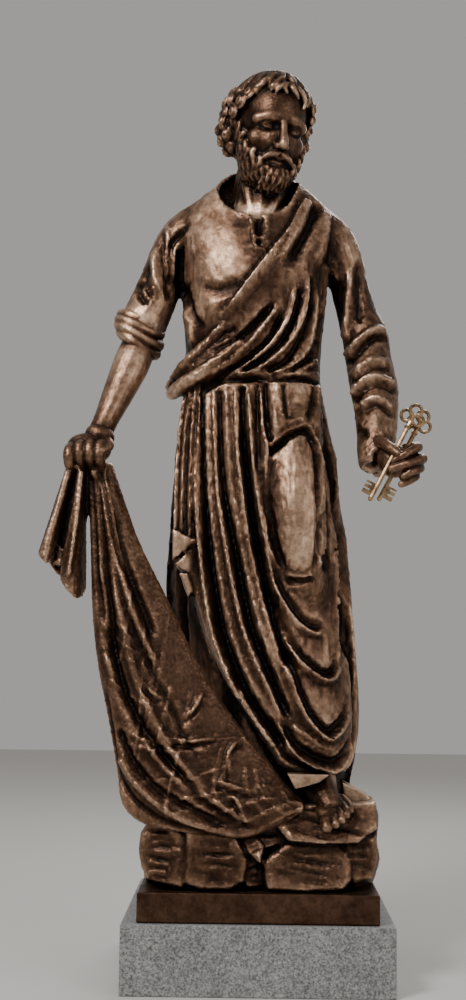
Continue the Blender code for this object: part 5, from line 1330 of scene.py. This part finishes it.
def blend(tree, how, share, first, second):
    """Two colours mixed; each is a socket, and the share is a socket or a number."""
    made = tree.nodes.new("ShaderNodeMix")
    made.data_type = "RGBA"
    made.blend_type = how
    made.clamp_factor = True
    for name, value in (("Factor", share), ("A", first), ("B", second)):
        if isinstance(value, bpy.types.NodeSocket):
            tree.links.new(value, made.inputs[name])
        else:
            made.inputs[name].default_value = value
    return made.outputs["Result"]


def grain(tree, scale, detail=6.0, rough=0.6):
    """Noise in the object's own metres."""
    place = tree.nodes.get("Place") or node(tree, "ShaderNodeTexCoord", name="Place")
    made = node(tree, "ShaderNodeTexNoise")
    made.inputs["Scale"].default_value = scale
    made.inputs["Detail"].default_value = detail
    made.inputs["Roughness"].default_value = rough
    tree.links.new(place.outputs["Object"], made.inputs["Vector"])
    return made.outputs["Fac"]


def surface(name):
    """A new material, its tree and its shader."""
    made = bpy.data.materials.new(name)
    made.use_nodes = True
    return made, made.node_tree, made.node_tree.nodes["Principled BSDF"]


def bump(tree, shader, height, strength, distance):
    """Fine roughness that only catches the light."""
    made = node(tree, "ShaderNodeBump")
    made.inputs["Strength"].default_value = strength
    made.inputs["Distance"].default_value = distance
    tree.links.new(height, made.inputs["Height"])
    tree.links.new(made.outputs["Normal"], shader.inputs["Normal"])


# The patina's colours from the sunk places to the worn ones; the painted shade stored with the patina pulls
# points towards the dark end
PATINA = [
    (0.10, (0.007, 0.004, 0.003)), (0.34, (0.034, 0.018, 0.011)), (0.50, (0.130, 0.068, 0.040)),
    (0.62, (0.34, 0.195, 0.120)), (0.84, (0.84, 0.58, 0.40)),
]


def bronze():
    """Brown patina: golden where hands and weather have worn it and dark in the hollows, with painted shade
    from the occlusion that takes the recesses nearly to black.
    """
    made, tree, shader = surface("patinated_bronze")
    layer = node(tree, "ShaderNodeAttribute", attribute_name="wear_and_shade")
    worn = ramp(tree, layer.outputs["Fac"], PATINA)
    cloud = ramp(tree, grain(tree, 9.0, 8.0, 0.65), [(0.36, (0.36, 0.31, 0.28)), (0.62, WHITE)])
    speck = ramp(tree, grain(tree, 62.0, 6.0, 0.7), [(0.38, (0.42, 0.36, 0.32)), (0.58, WHITE)])
    colour = blend(tree, "MULTIPLY", 0.80, worn, cloud)
    colour = blend(tree, "MULTIPLY", 0.75, colour, speck)
    # Painted shade: the occlusion darkens the base colour in recesses nearly to black and takes their metal,
    # shine and gloss away, so no reflection shows there
    shade = node(tree, "ShaderNodeAmbientOcclusion", samples=8)
    shade.inputs["Distance"].default_value = 0.15
    deep = ramp(tree, shade.outputs["AO"], [(0.20, (0.04, 0.034, 0.030)), (0.62, WHITE)])
    colour = blend(tree, "MULTIPLY", 0.95, colour, deep)
    tree.links.new(colour, shader.inputs["Base Color"])
    bare = ramp(tree, shade.outputs["AO"], [(0.20, grey(0.0)), (0.55, grey(0.85))])
    tree.links.new(bare, shader.inputs["Metallic"])
    sheen = ramp(tree, shade.outputs["AO"], [(0.20, grey(0.02)), (0.55, grey(0.5))])
    tree.links.new(sheen, shader.inputs["Specular IOR Level"])
    gloss = ramp(tree, grain(tree, 26.0, 7.0, 0.7), [(0.30, grey(0.26)), (0.72, grey(0.54))])
    dull = ramp(tree, shade.outputs["AO"], [(0.20, grey(0.9)), (0.50, grey(0.0))])
    tree.links.new(blend(tree, "LIGHTEN", 1.0, gloss, dull), shader.inputs["Roughness"])
    bump(tree, shader, grain(tree, 120.0, 8.0, 0.7), 0.45, 0.0020)
    return made


def gilt():
    """The keys' brighter bronze."""
    made, tree, shader = surface("gilt_bronze")
    colour = ramp(tree, grain(tree, 60.0), [(0.34, (0.18, 0.10, 0.05)), (0.64, (0.62, 0.42, 0.24))])
    tree.links.new(colour, shader.inputs["Base Color"])
    shader.inputs["Metallic"].default_value = 0.95
    shader.inputs["Roughness"].default_value = 0.32
    bump(tree, shader, grain(tree, 300.0), 0.2, 0.0006)
    return made


def granite():
    """Sawn grey granite with dark and pale specks."""
    made, tree, shader = surface("speckled_granite")
    base = ramp(tree, grain(tree, 14.0, 8.0, 0.7), [(0.32, grey(0.22)), (0.68, (0.33, 0.33, 0.325))])
    flecks = ramp(tree, grain(tree, 230.0, 4.0, 0.8),
                  [(0.38, grey(0.22)), (0.50, grey(0.92)), (0.62, (1.6, 1.6, 1.57))])
    colour = blend(tree, "MULTIPLY", 0.9, base, flecks)
    tree.links.new(colour, shader.inputs["Base Color"])
    shader.inputs["Roughness"].default_value = 0.62
    bump(tree, shader, grain(tree, 260.0), 0.3, 0.0008)
    return made


def hammered(solid, height, reach):
    """The uneven surface of the casting: shallow dents of two sizes."""
    points = np.asarray(solid[0], float)
    flat = (points - points.mean(0)) @ turned(20, 30, 40)
    dents = np.zeros(len(points))
    for n, (size, share) in enumerate(((1.0, 0.6), (0.5, 0.4))):
        wave = flat / (reach * size)
        bend = np.sin(wave[:, [1, 2, 0]] * 0.7 + n) * 1.3
        dents += share * np.sin(wave + bend).prod(1) * 2
    top = object_of("relief", solid)
    normals = table_of(top.data.vertices, "normal")
    bpy.data.objects.remove(top)
    return points + normals * (dents * height)[:, None], solid[1]


def shown(name, solids, grid, material, triangles=PIECE_TRIANGLES, rounds=60, reach=0.010, level=0.5,
          relief=(0.7, 4.0), shaded=0.0):
    """One visible piece: drawn solids grown together, thinned, in metres, with its finish."""
    grown = thinned(fused(name, solids, grid, 2), triangles)
    piece = object_of(name, placed(hammered(solid_of(grown), *relief)))
    piece.data.shade_smooth()
    piece.data.materials.append(material)
    wear_and_shade(piece, rounds, reach, level, shaded)
    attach(piece, "root")
    return piece


def slab(material):
    """The casting's flat slab with its edges taken off."""
    points, faces = primitive(bmesh.ops.create_cube, size=1.0)
    size = np.array((*SLAB_SIZE, SLAB_HEIGHT))
    made = object_of("saint_slab", (points * size + (0, 0, SLAB_TOP - SLAB_HEIGHT / 2), faces))
    soft = made.modifiers.new("Edge", "BEVEL")
    soft.width = SLAB_EDGE
    soft.segments = 3
    apply_modifiers(made)
    made.data.materials.append(material)
    store_wear_and_shade(made.data, np.full(len(made.data.vertices), SLAB_WEAR))
    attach(made, "root")
    return made


# Soft square lamps: name, place and side in metres, and watts; all aim at one point at the hips
LAMPS = [
    ("key", (-1.6, -2.3, 3.4), 0.9, 92),
    ("fill", (2.4, -2.2, 1.9), 1.8, 20),
    ("rim", (0.6, 2.2, 3.0), 1.5, 40),
]
LAMPS_AIM = Vector((0, 0, 1.1))
FLOOR_COLOUR = (0.62, 0.60, 0.57, 1)
STUDIO_COLOUR = (0.80, 0.78, 0.75, 1)
STUDIO_STRENGTH = 0.48


def floor_and_light():
    """A plain pale floor under three soft lamps."""
    points, faces = primitive(bmesh.ops.create_grid, x_segments=1, y_segments=1, size=6.0)
    floor = object_of("floor", (points, faces))
    made, _, shader = surface("pale_floor")
    shader.inputs["Base Color"].default_value = FLOOR_COLOUR
    shader.inputs["Roughness"].default_value = 0.7
    floor.data.materials.append(made)
    world = bpy.data.worlds.new("studio")
    bpy.context.scene.world = world
    world.use_nodes = True
    back = world.node_tree.nodes["Background"]
    back.inputs["Color"].default_value = STUDIO_COLOUR
    back.inputs["Strength"].default_value = STUDIO_STRENGTH
    for name, place, size, power in LAMPS:
        lamp = bpy.data.lights.new(name, "AREA")
        lamp.size = size
        lamp.energy = power
        made = bpy.data.objects.new(name, lamp)
        made.location = place
        made.rotation_euler = (LAMPS_AIM - Vector(place)).to_track_quat("-Z", "Y").to_euler()
        bpy.context.scene.collection.objects.link(made)


# The viewer's eye: its place in metres, its turn in degrees, and the lens in millimetres
EYE = (-0.0205, -3.2, 0.727)
EYE_PITCH = 5.76
EYE_YAW = 0.784
EYE_ROLL = 0.6
EYE_LENS = 50.0
EYE_SENSOR = 36.0


def camera():
    """The view from the front, a little from below."""
    pitch, yaw, roll = (math.radians(v) for v in (EYE_PITCH, EYE_YAW, EYE_ROLL))
    turn = (Matrix.Rotation(yaw, 4, "Z") @ Matrix.Rotation(math.pi / 2 + pitch, 4, "X")
            @ Matrix.Rotation(roll, 4, "Z"))
    lens = bpy.data.cameras.new("camera")
    lens.lens = EYE_LENS
    lens.sensor_width = EYE_SENSOR
    made = bpy.data.objects.new("camera", lens)
    made.matrix_world = Matrix.Translation(EYE) @ turn
    bpy.context.scene.collection.objects.link(made)
    bpy.context.scene.camera = made


def dress():
    """Every visible piece, in the order of the figure from the robe to the ground."""
    metal = bronze()
    # The robe is given painted shade where it lies back below the hips
    robe = shown("saint_robe", drapery(), CLOTH_GRID, metal, level=0.46, relief=(1.3, 4.4),
                 shaded=0.22)
    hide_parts("saint_figure")
    shown("saint_head", neck() + head(HEAD_GRID), HEAD_GRID, metal, triangles=150000, rounds=50,
          reach=0.006, level=0.44, relief=(0.25, 3.0))
    shown("saint_hands", right_arm() + left_hand() + foot(), HAND_GRID, metal, triangles=110000, rounds=50,
          reach=0.006, level=0.47, relief=(0.3, 3.0))
    net = carved_net(NET_GRID)
    tie_cords(net)
    net.end()
    shown("saint_net", [solid_of(net.obj)], NET_GRID, metal, triangles=160000, rounds=50,
          reach=0.008, level=0.47, relief=(0.6, 3.2))
    stones = Carving(fused("stones", ground(), ROCK_GRID, 1))
    chisel(stones)
    stones.end()
    shown("saint_rocks", [solid_of(stones.obj)], ROCK_GRID, metal, triangles=90000, level=0.45)
    slab(metal)
    for name, finish in (("key_left", gilt), ("key_right", gilt), ("granite_base", granite)):
        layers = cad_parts[name].data.materials
        layers.clear()
        layers.append(finish())


dress()
floor_and_light()
camera()
